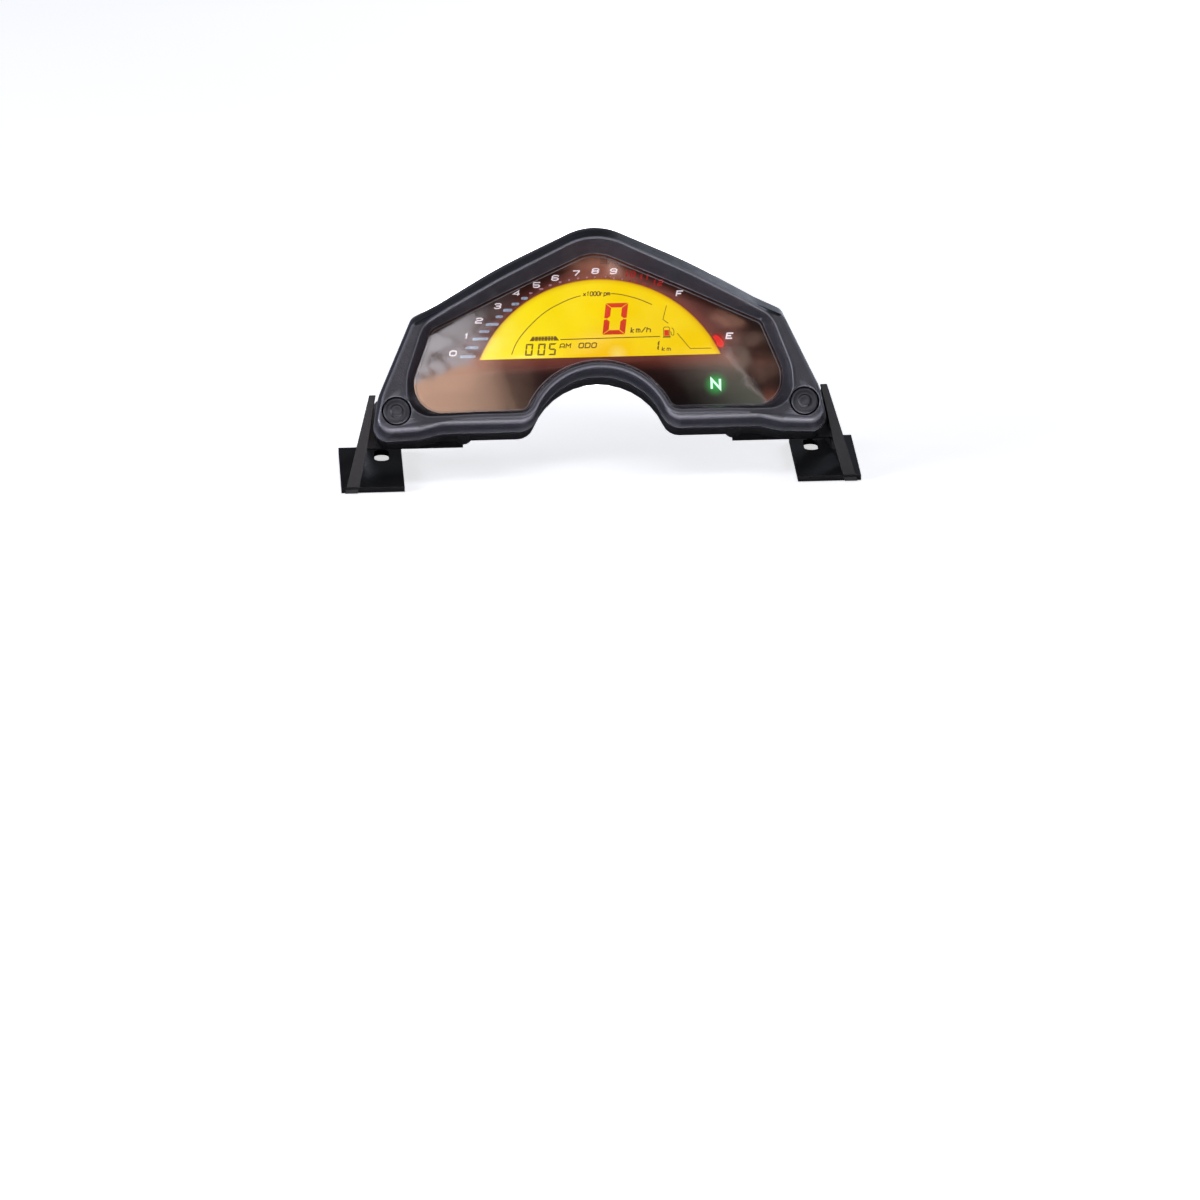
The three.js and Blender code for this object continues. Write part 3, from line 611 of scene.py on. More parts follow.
def draw_display():
    def shown(artwork, name, material=segment_ink):
        artwork.piece(name, material, slot="lcd_glass")

    speed = Artwork(SEGMENTS).digit("0", 1.5, 32.4, (10.0, 14.3), (2.6, 2.0), 0.2)
    shown(speed, "lcd_speed_digit", digit_ink)

    clock = Artwork(SEGMENTS)
    for x, digit in ((-33.2, "0"), (-27.7, "0"), (-22.9, "5")):
        clock.digit(digit, x, 23.7, (3.3, 5.4), (0.75, 0.7), 0.07)
    shown(clock, "lcd_clock_digits")

    distance = Artwork(SEGMENTS).digit("1", 23.2, 24.6, (3.0, 4.6), (0.75, 0.7), 0.07)
    shown(distance, "lcd_distance_digit")

    words = Artwork(SEGMENTS)
    words.write("AM", -17.6, 26.7, 2.0, 0.95, 0.22, 12)
    words.write("ODO", -9.2, 26.7, 2.1, 0.95, 0.24, 12)
    words.write("km", 27.7, 24.4, 1.8, 0.85, 0.2, 8)
    words.write("km/h", 14.2, 33.0, 2.4, 0.68, 0.2, 8)
    words.write("x1000rpm", -6.4, 50.3, 1.8, 0.6, 0.24, 6)
    shown(words, "lcd_labels")

    lines = Artwork(SEGMENTS)
    left = [(-39, 24.4), (-37.1, 28.9), (-34.3, 33.1), (-30.3, 37.5), (-25.7, 41.7), (-21.3, 44.8),
            (-16.8, 47.1), (-13.7, 48.5), (-10, 49.8), (-7.5, 50.4)]
    right = [(6, 51.1), (11, 50.4), (18, 48.3), (24, 45.6)]
    for arc in (left, right):
        lines.line(smooth(arc), 0.38)
    lines.line([(-17.2, 30.7), (27.1, 31.0)], 0.4)
    lines.line([(30.4, 45.0), (28.6, 38.7), (30.9, 36.9)], 0.32)
    lines.line([(34.7, 32.3), (40.2, 25.2), (49.7, 25.1)], 0.32)
    shown(lines, "lcd_scale_lines")

    label = Artwork(SEGMENTS)
    low, high = LABEL_BAR
    edges = [-30.9, *NOTCHES, -17.4]
    for i in range(len(edges) - 1):
        x0, x1 = edges[i], edges[i + 1] - NOTCH_GAP
        lead = 1.4 if i == 0 else 0.2
        trail = -1.4 if i == len(edges) - 2 else 0.2
        label.patch([(x0, low), (x1, low), (x1 + trail, high), (x0 + lead, high)])
    for x in NOTCHES:
        label.patch([(x - 0.34, low + 0.6), (x + 0.02, low + 0.6), (x + 0.1, high - 0.7),
                     (x - 0.26, high - 0.7)])
    shown(label, "lcd_label_bar")

    pump = Artwork(SEGMENTS)
    tank = [(28.7, 30.9), (28.7, 34.7), (29.2, 35.2), (30.9, 35.2), (31.4, 34.7), (31.4, 30.9)]
    hose = [(31.5, 33.0), (32.0, 32.8), (32.1, 31.8), (32.7, 31.4), (33.2, 31.9), (33.2, 33.8),
            (32.4, 34.8)]
    pump.loop(tank, 0.3)
    pump.patch([(28.3, 30.4), (31.8, 30.4), (31.8, 30.85), (28.3, 30.85)])
    pump.line(smooth(hose, 4), 0.3)
    shown(pump, "lcd_pump_outline")
    fill = Artwork(SEGMENTS).patch([(29.0, 31.2), (31.1, 31.2), (31.1, 33.9), (29.0, 33.9)])
    shown(fill, "lcd_pump_fill", digit_ink)


# ---- mask artwork

NUMERALS = [
    ("0", -66.6, 24.2), ("1", -60.4, 31.8), ("2", -54.6, 38.8), ("3", -46.2, 45.2),
    ("4", -37.6, 50.8), ("5", -28.6, 54.4), ("6", -20.2, 57.4), ("7", -11.1, 59.3),
    ("8", -2.3, 60.1), ("9", 5.7, 59.8),
]
RED_NUMERALS = [("10", 12.0, 58.2), ("11", 18.4, 56.6), ("12", 24.2, 54.0)]
# left end, right end and height of each tick between the numerals and the display
TICKS = [
    (-62.0, -54.9, 23.8), (-59.4, -53.6, 27.8), (-56.3, -49.1, 31.7), (-53.2, -48.5, 35.0),
    (-50.1, -44.3, 38.2), (-45.6, -42.3, 41.6), (-42.2, -38.0, 44.5), (-38.4, -34.9, 47.2),
    (-34.0, -31.0, 49.7),
]
FINE_TICKS = [
    (-30.4, -28.8, 52.0), (-26.0, -24.0, 53.8), (-21.6, -20.2, 55.4), (-17.2, -15.8, 56.7),
    (-12.9, -12.0, 57.6), (-8.9, -7.9, 58.2), (-4.9, -4.1, 58.5), (-1.4, -0.6, 58.6),
    (3.4, 4.2, 58.7), (7.1, 7.9, 57.8), (10.7, 11.5, 57.3),
]
RED_TICKS = [(14.1, 15.0, 56.6), (17.0, 18.0, 55.8), (20.3, 21.3, 54.7), (23.0, 24.0, 53.4)]


def draw_mask():
    def printed(artwork, name, material):
        artwork.piece(name, material, slot="mask_print")

    white = ink("print_white", (0.86, 0.8, 0.84), glow=0.55)
    red = ink("print_red", (0.42, 0.016, 0.012), glow=0.5)
    icy = ink("tick_white", (0.36, 0.47, 0.62), glow=0.4, uneven=0.45)
    # The fine ticks are tinted rose: painted spill of the red light round the display.
    glow_tinted = ink("tick_rose_painted_glow", (0.5, 0.25, 0.3), glow=0.3)
    shadow = ink("print_unlit", (0.018, 0.01, 0.01))

    numerals = Artwork(PRINT)
    for text, x, y in NUMERALS:
        numerals.write(text, x, y + 0.2, 2.15, 1.3, 0.25)
    printed(numerals, "mask_numerals", white)
    hot = Artwork(PRINT)
    for text, x, y in RED_NUMERALS:
        hot.write(text, x, y + 0.2, 2.2, 0.85, 0.28)
    printed(hot, "mask_red_numerals", red)

    for name, material, ticks, height in (("mask_ticks", icy, TICKS, 1.25),
                                          ("mask_fine_ticks", glow_tinted, FINE_TICKS, 0.75),
                                          ("mask_red_ticks", red, RED_TICKS, 0.8)):
        scale = Artwork(PRINT)
        for left, right, y in ticks:
            scale.dash(left, right, y, height)
        printed(scale, name, material)

    letters = Artwork(PRINT)
    letters.write("F", 34.8, 49.0, 2.3, 1.15, 0.28)
    letters.write("E", 56.3, 29.2, 2.3, 1.15, 0.28)
    printed(letters, "mask_fuel_letters", white)

    engine = Artwork(PRINT)
    engine.loop([(62.6, 8.0), (62.6, 10.6), (63.6, 10.6), (64.2, 11.4), (66.4, 11.4), (67.0, 10.6),
                 (67.6, 10.6), (67.6, 8.6), (66.6, 7.6), (63.4, 7.6)], 0.35)
    engine.line([(61.8, 8.2), (61.8, 10.4)], 0.4)
    engine.line([(64.4, 12.3), (66.2, 12.3)], 0.4)
    printed(engine, "mask_engine_icon", shadow)

    beam = Artwork(PRINT)
    beam.loop([(4.4, 64.6), (5.6, 64.9), (6.2, 66.0), (5.6, 67.1), (4.4, 67.4)], 0.3)
    for k in range(4):
        y = 64.8 + 0.8 * k
        beam.line([(1.6, y), (3.8, y)], 0.25)
    printed(beam, "mask_beam_icon", shadow)


def draw_lamps():
    def spill(name, glow, colour, centre, reach, strength, slot):
        [(x, y)] = shifted([centre])
        disc = Drawing().turned(x, y, [(reach, PRINT[0]), (reach, PRINT[1])], 48)
        disc.piece(name, halo(glow, colour, x, y, reach, strength), slot=slot)

    above = (PRINT[1] + 0.02, PRINT[1] + 0.06)
    letter = Artwork(above).write("N", 49.1, 6.4, 4.4, 0.84, 0.24, 0)
    letter.piece("neutral_letter", ink("lamp_green_white", (0.62, 1.0, 0.74), glow=1.2),
                 slot="led_green")
    spill("neutral_glow", "glow_green", (0.01, 0.42, 0.07), (51, 8.55), 6.6, 1.3, "led_green")

    lamp = [(50.2, 30.2), (51.2, 30.8), (52.4, 30.6), (54.0, 29.0), (55.1, 27.1), (54.9, 25.7),
            (54.0, 25.1), (52.3, 25.8), (51.6, 28.0)]
    pool = Artwork(above).patch(smooth([*lamp, lamp[0]], 4)[:-1][::-1])
    pool.piece("low_fuel_lamp", ink("lamp_red", (0.8, 0.012, 0.004), glow=0.5), slot="led_red")
    spill("low_fuel_glow", "glow_red", (0.7, 0.02, 0.01), (53, 28.2), 5.0, 0.7, "led_red")


# ---- bezel

# each outline's apex (y and radius), corners (x, y and radius) down the right-hand side, and the
# notch's arch (centre's y, radius and the fillets beside it)
FACE = (
    (81.8, 27),
    [(42, 60.9, 250), (70.5, 45.2, 20), (81.8, 39.7, 4.5), (95.8, 8, 30),
     (99.9, -9.8, 6), (80, -8.9, 12), (70, -6.5, 12)],
    (-13.5, 31, 8)
)
PARTING = (
    (87.3, 27),
    [(42, 67.7, 250), (70, 51.2, 20), (82, 45.2, 5), (98, 9, 30),
     (101.4, -10.8, 6.6), (80, -9.9, 12), (70, -7.5, 12)],
    (-13.5, 30, 9)
)
RIDGE = (
    (79.3, 27),
    [(42, 58.7, 250), (66, 45.4, 25), (77.2, 38.6, 12), (85.1, 16, 25),
     (85.7, -3, 11), (66, -2.9, 20), (56, -2.5, 20)],
    (-13.5, 33, 6.5)
)
WINDOW = (
    (74, 18),
    [(40, 55.7, 250), (63, 44.6, 30), (73.2, 39.8, 4.5), (81.5, 18, 12),
     (81.9, 1.2, 12.5), (64, 1.3, 20), (54, 1.5, 20)],
    (-10.8, 34, 5)
)
RIM_Z, ROOF_Z, LIP_Z, LIP_BACK_Z = -15, -7, -12, -13
CREST_Z = 1.1
WALL = 1.4
FLANK_Z = -1.2
# points along each rounded corner, the fillet beside the notch, the notch and the apex
CORNER_STEPS = (10, 8, 10, 8, 16, 7, 7)
FILLET_STEPS, ARCH_STEPS, APEX_STEPS = 12, 48, 28


def rounded_corner(before, corner, after, radius, steps):
    """Points along the arc that rounds a corner between its two neighbours."""
    back, on = (before - corner).normalized(), (after - corner).normalized()
    half = math.acos(max(-1, min(1, back.dot(on)))) / 2
    centre = corner + (back + on).normalized() * (radius / math.sin(half))
    sweep = math.copysign(math.pi - 2 * half, back.x * on.y - back.y * on.x)
    start = corner + back * (radius / math.tan(half)) - centre
    return [centre + Matrix.Rotation(-sweep * i / steps, 2) @ start for i in range(steps + 1)]


def polar(x, y, radius, angle):
    return Vector((x + radius * math.cos(angle), y + radius * math.sin(angle)))


def cluster_outline(apex, corners, arch):
    """One of the cluster's outlines, anticlockwise; every outline has the same number of points."""
    centre_y, radius, fillet = arch
    line = [Vector(c[:2]) for c in corners]
    bottom = line[-1].y
    fillet_y = bottom + fillet
    fillet_x = math.sqrt((radius + fillet) ** 2 - (fillet_y - centre_y) ** 2)
    lift = math.atan2(fillet_y - centre_y, fillet_x)
    chain = [Vector((0, apex[0])), *line, Vector((fillet_x, bottom))]
    right = []
    for i, corner in enumerate(corners):
        right += rounded_corner(*chain[i:i + 3], corner[2], CORNER_STEPS[i])
    for i in range(FILLET_STEPS + 1):
        angle = -math.pi / 2 - (math.pi / 2 - lift) * i / FILLET_STEPS
        right.append(polar(fillet_x, fillet_y, fillet, angle))
    left = [Vector((-p.x, p.y)) for p in reversed(right)]
    over = [polar(0, centre_y, radius, lift + (math.pi - 2 * lift) * i / ARCH_STEPS)
            for i in range(1, ARCH_STEPS)]
    first = Vector((-line[0].x, line[0].y))
    top = rounded_corner(first, chain[0], line[0], apex[1], APEX_STEPS)
    return [*top, *right, *over, *left][::-1]


def grown(outline, distance):
    """An anticlockwise outline with every edge moved outwards."""
    out = []
    for i, point in enumerate(outline):
        arriving = (point - outline[i - 1]).normalized()
        leaving = (outline[(i + 1) % len(outline)] - point).normalized()
        along = (arriving + leaving).normalized()
        out.append(point + Vector((along.y, -along.x)) * (distance / along.dot(leaving)))
    return out


def between(a, b, share):
    return [p.lerp(q, share) for p, q in zip(a, b)]


def eased(value, start, end):
    t = max(0, min(1, (value - start) / (end - start)))
    return t * t * (3 - 2 * t)


# The section's outside, from the flank to the recess, as (distance from the face's or the ridge's
# outline, z) on the wings, along the peak and along the bottom edge.
FACE_ROLL = [
    ((0.2, -1.6), (0.2, -3.4), (0.2, -4.2)),
    ((0.12, -1.0), (0.12, -2.9), (0.12, -3.1)),
    ((-0.08, -0.5), (-0.02, -2.5), (-0.1, -2.1)),
    ((-0.4, -0.18), (-0.25, -2.15), (-0.5, -1.2)),
    ((-0.95, -0.03), (-0.55, -1.8), (-1.2, -0.55)),
    ((-1.7, 0), (-0.8, -1.45), (-2.2, -0.18)),
]
RIDGE_ROLL = [
    ((1.6, 0), (1.15, -0.35), (1.9, -0.02)),
    ((1.1, 0.05), (0.74, 0.5), (1.2, 0.03)),
    ((0.7, 0.12), (0.52, 0.93), (0.7, 0.06)),
    ((0.35, 0.2), (0.4, 1.035), (0.4, 0.08)),
    ((0.1, 0.23), (-0.16, 1.09), (0.1, 0.06)),
    ((-0.1, 0.17), (-0.28, 1.05), (-0.12, -0.03)),
    ((-0.26, 0.0), (-0.46, 0.86), (-0.3, -0.22)),
    ((-0.38, -0.28), (-0.64, 0.48), (-0.44, -0.5)),
    ((-0.46, -0.65), (-0.82, 0.0), (-0.54, -0.9)),
]


def bezel_rows():
    """The shell's section as rings, from the parting line over the crest to the recess and back."""
    face, parting, ridge, window = (cluster_outline(*o) for o in (FACE, PARTING, RIDGE, WINDOW))
    peak = [eased(p.y, 37, 45) for p in ridge]
    low = [1.0 if abs(p.x) < 50 and p.y < 25 else eased(p.y, 4, -2) for p in ridge]
    ridge_low = [max(0, w - t) for w, t in zip(low, peak)]

    def wall(z):
        return between(ridge, window, (CREST_Z - z) / (CREST_Z - LIP_Z))

    def flank(z):
        return between(face, parting, (FLANK_Z - z) / (FLANK_Z - RIM_Z))

    def level(outline, z):
        return [(p.x, p.y, z) for p in outline]

    rows = [level(parting, RIM_Z), level(grown(parting, 0.02), RIM_Z + 0.7),
            level(grown(flank(-8), 0.2), -8)]
    for outline, variants in [*((face, v) for v in FACE_ROLL), *((ridge, v) for v in RIDGE_ROLL)]:
        wing, top, bottom = (level(grown(outline, d), z) for d, z in variants)
        row = []
        for i in range(len(outline)):
            shares = (1 - peak[i] - ridge_low[i], peak[i], ridge_low[i])
            spots = (wing[i], top[i], bottom[i])
            row.append(tuple(sum(s * p[k] for s, p in zip(shares, spots)) for k in range(3)))
        rows.append(row)
    return rows + [
        level(grown(wall(-3), -0.45), -3),
        level(grown(wall(-7.5), -0.3), -7.5),
        level(grown(wall(-11.2), -0.05), -11.2),
        level(window, LIP_Z),
        level(window, LIP_BACK_Z),
        level(grown(window, 1.5), LIP_BACK_Z),
        level(grown(wall(ROOF_Z), WALL), ROOF_Z),
        level(grown(flank(ROOF_Z), -WALL), ROOF_Z),
        level(grown(parting, -1.6), RIM_Z),
    ]


def draw_bezel(material):
    bezel = Drawing().rows([row[::-1] for row in bezel_rows()], closed=True)
    made = bezel.piece("bezel_shell", material, slot="bezel_plastic", replaces=["bezel"], crease=40)
    bores = Drawing()
    for x in BUTTON_XS.values():
        flare = [(6.45, -16), (6.5, -15), (6.5, -0.62), (6.54, -0.36), (6.66, -0.16), (6.84, -0.04),
                 (7.1, 0.02), (7.12, 3), (7.0, 3.1)]
        bores.turned(x, 0, flare, 96)
    cutter = bores.piece("bezel_bores", material, crease=40)
    made.modifiers.clear()
    cutter.modifiers.clear()
    modify(made, "BOOLEAN", object=cutter, operation="DIFFERENCE", solver="EXACT")
    bpy.context.view_layer.update()
    evaluated = made.evaluated_get(bpy.context.evaluated_depsgraph_get())
    mesh = bpy.data.meshes.new_from_object(evaluated)
    made.modifiers.clear()
    made.data = mesh
    bpy.data.objects.remove(cutter)
    dress(made, 40)
    modify(made, "WEIGHTED_NORMAL", keep_sharp=True)


# ---- hardware

BOOT_FOOT_Z = -8.7
SCREWS = [(0, 77.6), (77.6, 42.4), (-77.6, 42.4), (89, 15), (-89, 15), (60, -3.4), (-60, -3.4)]
SCREW_SEAT_Z, SCREW_TIP_Z = -21.5, -11.5
MOUNTS = [(0, 55.5), (74, 8), (-74, 8)]
BOLT_SEAT_Z, BOLT_THREAD_Z, BOLT_TIP_Z = -49.4, -35.6, -35
BOLT_FLATS = 7.62
SOCKET_TOP_Z, PIN_END_Z = -31.8, -42.1
PIN_ROWS, PIN_PITCH, PIN_HALF = (33.5, 38.5), 3.5, 0.42


def cross(length, half_width):
    """Radius of a cross-shaped recess at each angle."""

    def radius(angle):
        off = abs((angle + math.pi / 4) % (math.pi / 2) - math.pi / 4)
        return min(length / math.cos(off), half_width / max(1e-6, math.sin(off)))

    return radius


def hexagon(across_flats, limit=math.inf):
    """Radius of a hexagon at each angle, cut down to a circle of radius limit."""

    def radius(angle):
        off = (angle + math.pi / 6) % (math.pi / 3) - math.pi / 6
        return min(limit, across_flats / 2 / math.cos(off))

    return radius


def thread(radius, start, end, pitch, depth):
    """Profile points of a ridged shank from z start to z end."""
    count = round(abs(end - start) / pitch)
    step = (end - start) / count / 2
    return [(radius - depth * (1 - i % 2), start + step * i) for i in range(2 * count + 1)]


def raised(profile, base):
    return [(radius, base + z) for radius, z in profile]


def draw_boots(material):
    """The silicone boots at the buttons, drawn at rest, each with a mesh of its own; the real boots
    give way as the buttons go in.
    """
    profile = raised([
        (4.5, 0), (6.1, 0), (6.12, 0.5), (6.05, 1), (5.75, 1.35), (5.35, 1.7), (5.2, 2.3),
        (5.0, 3.4), (4.8, 4.5), (4.7, 5.25), (4.5, 5.4), (2.75, 5.4), (2.6, 5.25), (2.6, 4.55),
        (2.75, 4.4), (3.5, 4.25), (3.85, 3.9), (4.1, 2.4), (4.45, 0.8),
    ], BOOT_FOOT_Z)
    for name, x in BUTTON_XS.items():
        boot = Drawing().turned(x, 0, profile, closed=True)
        boot = boot.piece(f"{name}_boot", material, slot="boot_silicone",
                          replaces=[f"{name}_button_boot"], crease=50)
        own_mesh(boot)


def draw_window_line(material):
    """The bead moulded round the edge of the window, coloured light grey as a painted highlight
    along that edge.
    """
    window = grown(cluster_outline(*WINDOW), -1.0)
    bead = Drawing().ribbon([*window, window[0]], 0.28, (WINDOW_Z - 0.02, WINDOW_Z + 0.12))
    bead.piece("window_bead", material, slot="lens_polycarbonate")


def draw_buttons(material):
    profile = [
        (2.15, -24.0), (2.2, -23.9), (2.2, -14), (3.1, -11.8), (2.2, -11.8), (2.2, -3), (5.8, -3),
        (5.9, -2.9), (5.95, -2.7), (5.95, -0.75), (5.92, -0.5), (5.83, -0.3), (5.68, -0.12),
        (5.5, 0.0), (5.25, 0.07), (4.95, 0.06), (4.7, -0.02), (4.4, -0.12), (3.9, -0.2),
        (3.3, -0.22), (3.0, -0.18), (2.82, -0.05), (2.72, 0.2), (2.66, 0.5), (2.55, 0.72),
        (2.38, 0.86), (2.1, 0.93), (1.6, 0.9), (1.0, 0.82), (0.4, 0.78),
    ]
    for name, x in BUTTON_XS.items():
        cap = Drawing().turned(x, 0, profile, 96)
        cap.piece(f"{name}_button_cap", material, f"{name}_button", "button_plastic",
                  [f"{name}_button"], crease=40)


def draw_screws(material):
    head = [
        (0.4, -1.15), (cross(0.5, 0.2), -1.2), (cross(1.45, 0.32), -1.95), (1.8, -1.92),
        (2.2, -1.72), (2.55, -1.3), (2.72, -0.75), (2.75, -0.15), (2.65, 0), (0.9, 0),
    ]
    shank = thread(0.9, SCREW_SEAT_Z, SCREW_TIP_Z, 0.9, 0.22)
    profile = [*raised(head, SCREW_SEAT_Z), *shank, (0.3, SCREW_TIP_Z + 0.35)]
    for i, (x, y) in enumerate(SCREWS):
        screw = Drawing().turned(x, y, profile, 48)
        screw.piece(f"case_screw_head_{i + 1}", material, slot="screw_steel",
                    replaces=[f"case_screw_{i + 1}"], crease=50)


def draw_bolts(material):
    side = hexagon(BOLT_FLATS)
    head = [
        (1.4, -3.9), (2.4, -4.0), (2.9, -4.36), (3.7, -4.4), (hexagon(BOLT_FLATS, 3.85), -4.34),
        (hexagon(BOLT_FLATS, 4.1), -4.15), (hexagon(BOLT_FLATS, 4.3), -3.9), (side, -3.5),
        (side, -1.5), (hexagon(8.2), -1.25), (4.9, -1.05), (5.4, -0.75), (5.58, -0.45), (5.6, -0.1),
        (5.45, 0), (2.4, 0),
    ]
    shank = thread(2.4, BOLT_SEAT_Z + 2, BOLT_THREAD_Z, 0.9, 0.3)
    profile = [*raised(head, BOLT_SEAT_Z), *shank, (1.9, BOLT_TIP_Z)]
    for i, (x, y) in enumerate(MOUNTS):
        bolt = Drawing().turned(x, y, profile, 72)
        bolt.piece(f"flange_bolt_{i + 1}", material, slot="screw_steel",
                   replaces=[f"mount_bolt_{i + 1}"], crease=40)


def draw_connector(nylon, tin):
    housing = Drawing().box((-15, 15), (30.5, 41.5), (SOCKET_TOP_Z - 3.2, SOCKET_TOP_Z))
    housing.piece("connector_housing", nylon, slot="connector_nylon", replaces=["connector_header"],
                  round_off=0.3)
    pins = Drawing()
    for column in range(8):
        for y in PIN_ROWS:
            x = PIN_PITCH * (column - 3.5)
            xs, ys = ((c - PIN_HALF, c + PIN_HALF) for c in (x, y))
            pins.box(xs, ys, (PIN_END_Z, SOCKET_TOP_Z - 3.3))
            pins.box(xs, ys, (PIN_END_Z, PIN_END_Z - 0.85), 0.25)
    pins.piece("connector_pins", tin, slot="component_metal", crease=20)


# ---- everything together

# The bezel's lighter edges are partly a painted highlight on its crest and lower lip.
bezel_finish = moulded("bezel_grain", (0.013, 0.013, 0.017), (0.022, 0.022, 0.028), 0.36,
                       grain=0.75, depth=0.07, edge_wear_and_highlight=1.0)
button_finish = moulded("button_grain", (0.012, 0.012, 0.015), (0.019, 0.019, 0.023), 0.37,
                        grain=0.6, depth=0.03)
case_finish = moulded("case_grain", (0.008, 0.008, 0.009), (0.018, 0.018, 0.02), 0.46,
                      grain=0.7, depth=0.02)
steel = plated("zinc_plate", (0.42, 0.43, 0.46), (0.66, 0.67, 0.7), 0.3)
bright = plated("tin_plate", 0.6, (0.8, 0.8, 0.79), 0.22)
chip = epoxy("chip_resin", (0.012, 0.012, 0.013), (0.035, 0.035, 0.037))
green_led = epoxy("led_green_lit", (0.05, 0.6, 0.12), (0.1, 0.8, 0.2), (0.05, 0.9, 0.2))
red_led = epoxy("led_red_lit", (0.6, 0.04, 0.02), (0.8, 0.08, 0.05), (0.9, 0.05, 0.02))
amber_led = epoxy("led_amber", (0.7, 0.42, 0.05), (0.85, 0.55, 0.1), (1.0, 0.6, 0.05))

# material and rounding of edges in millimetres, by a node's name or the part a set shares
FINISHES = {
    "bezel": (bezel_finish, 0.25),
    "rear_case": (case_finish, 0.4),
    "lens": (smoked("smoked_window"), 0.3),
    "lens_gasket": (rubber("gasket_rubber", 0.006, 0.03), 0),
    "case_seal": (rubber("seal_rubber", 0.004, 0.02), 0),
    "dial_mask": (mask_ink("mask_maroon"), 0),
    "lcd_front_polarizer": (backlit("amber_display"), 0),
    "lcd_front_glass": (film("display_glass", (0.5, 0.47, 0.3), (0.62, 0.58, 0.4)), 0),
    "lcd_rear_glass": (film("display_glass_rear", (0.5, 0.47, 0.3), (0.62, 0.58, 0.4)), 0),
    "lcd_rear_polarizer": (film("amber_film", (0.5, 0.2, 0.01), (0.62, 0.3, 0.02)), 0),
    "backlight_diffuser": (film("diffuser", (0.75, 0.7, 0.6), (0.85, 0.8, 0.7)), 0),
    "display_frame": (moulded("frame_white", (0.6, 0.6, 0.57), (0.72, 0.72, 0.69), 0.5), 0.15),
    "circuit_board": (laminate("board_green"), 0),
    "microcontroller": (chip, 0.12),
    "voltage_regulator": (chip, 0.12),
    "crystal": (bright, 0.4),
    "breather_vent": (moulded("vent_grey", (0.2, 0.22, 0.24), (0.28, 0.3, 0.33), 0.6), 0.2),
    "mounting_bracket": (painted("bracket_black"), 0.35),
    "neutral_led": (green_led, 0.15),
    "low_fuel_led": (red_led, 0.15),
    "engine_warning_led": (epoxy("led_orange", (0.5, 0.2, 0.03), (0.65, 0.3, 0.06)), 0.15),
    "high_beam_led": (epoxy("led_blue", (0.03, 0.08, 0.5), (0.06, 0.14, 0.65)), 0.15),
    "backlight_led": (amber_led, 0.15),
    "contact_strip": (rubber("contact_pink", (0.4, 0.16, 0.15), (0.5, 0.24, 0.22)), 0),
    "capacitor": (bright, 0.25),
    "switch_body": (moulded("switch_black", 0.02, 0.03, 0.45), 0.1),
    "switch_plunger": (moulded("plunger_cream", (0.6, 0.57, 0.48), (0.7, 0.67, 0.58), 0.4), 0.1),
    "button_guide": (moulded("guide_grey", (0.05, 0.05, 0.056), (0.075, 0.075, 0.08), 0.5), 0.1),
    "mount_grommet": (rubber("grommet_rubber", 0.005, 0.028), 0.35),
    "mount_collar": (steel, 0.15),
}


def dress_frame():
    """Gives each CAD node that still shows its finish and its rounded edges."""
    for name, node in nodes.items():
        if node.hide_render:
            continue
        material, round_off = FINISHES[max((key for key in FINISHES if key in name), key=len)]
        node.data.materials.clear()
        node.data.materials.append(material)
        dress(node, 30, round_off)
    display = nodes["lcd_front_polarizer"]  # too weak by daylight to light the recess
    display.visible_diffuse = display.visible_glossy = False


# ---- studio

CARD_AWAY = 700  # the mirrored card's distance from the window
CARD_GLOW = 9.5
# what the middle and right of the window mirror: each patch's centre and half size on the dial
CARD_CLOUDS = [
    (-8, 74, 17, 8, (0.24, 0.12, 0.085)), (9, 70, 4, 9, (0.3, 0.21, 0.18)),
    (59, 42, 9, 5.5, (0.24, 0.125, 0.09)), (66, 32, 12, 4.5, (0.15, 0.1, 0.08)),
    (61, 22, 9, 6, (0.13, 0.125, 0.1)), (75, 18, 8, 8, (0.1, 0.06, 0.045)),
    (77, 6, 6, 5, (0.28, 0.1, 0.065)),
]
CARD_STREAK = ((57, 28), (73, 5))  # ends of the bright edge low on the right
CARD_BORDER = (-78.7, 17.5)  # where the grey ends and the warm begins, at the window's left edge
CARD_SLANT = (1, 0.25)  # the way the light falls off, across the dial
FLOOR_HALF, FLOOR_Z, BOUNCE_Z = 9.0, -0.0004, 0.0002


def stage_card(name, material, corners, seen=False):
    """One flat face of the studio; an unseen one throws no shadow either."""
    mesh = bpy.data.meshes.new(name)
    mesh.from_pydata(corners, [], [(0, 1, 2, 3)])
    mesh.materials.append(material)
    card = placed(name, mesh)
    card.visible_camera = card.visible_shadow = seen
    return card


def rectangle(xs, ys):
    return [(xs[0], ys[0]), (xs[1], ys[0]), (xs[1], ys[1]), (xs[0], ys[1])]


def draw_floor():
    """A white sweep to the camera that throws little light back up at the object."""
    g = Graph("studio_floor")
    at = g.node("TexCoord").outputs["Object"]
    tone = g.ramp(g.noise(0.4, 2, at=at), (0.3, (0.86, 0.86, 0.865)), (0.7, 0.9))
    seen = g.surface(tone, 0.7, Emission_Color=(1, 1, 1, 1), Emission_Strength=0.66)
    unseen = g.node("BsdfDiffuse", {"Color": (0.07, 0.07, 0.075, 1)}).outputs[0]
    camera_ray = g.node("LightPath").outputs["Is Camera Ray"]
    span = (-FLOOR_HALF, FLOOR_HALF)
    corners = [(x, y, FLOOR_Z) for x, y in rectangle(span, span)]
    stage_card("studio_floor", g.done(g.mix(camera_ray, unseen, seen)), corners, seen=True)


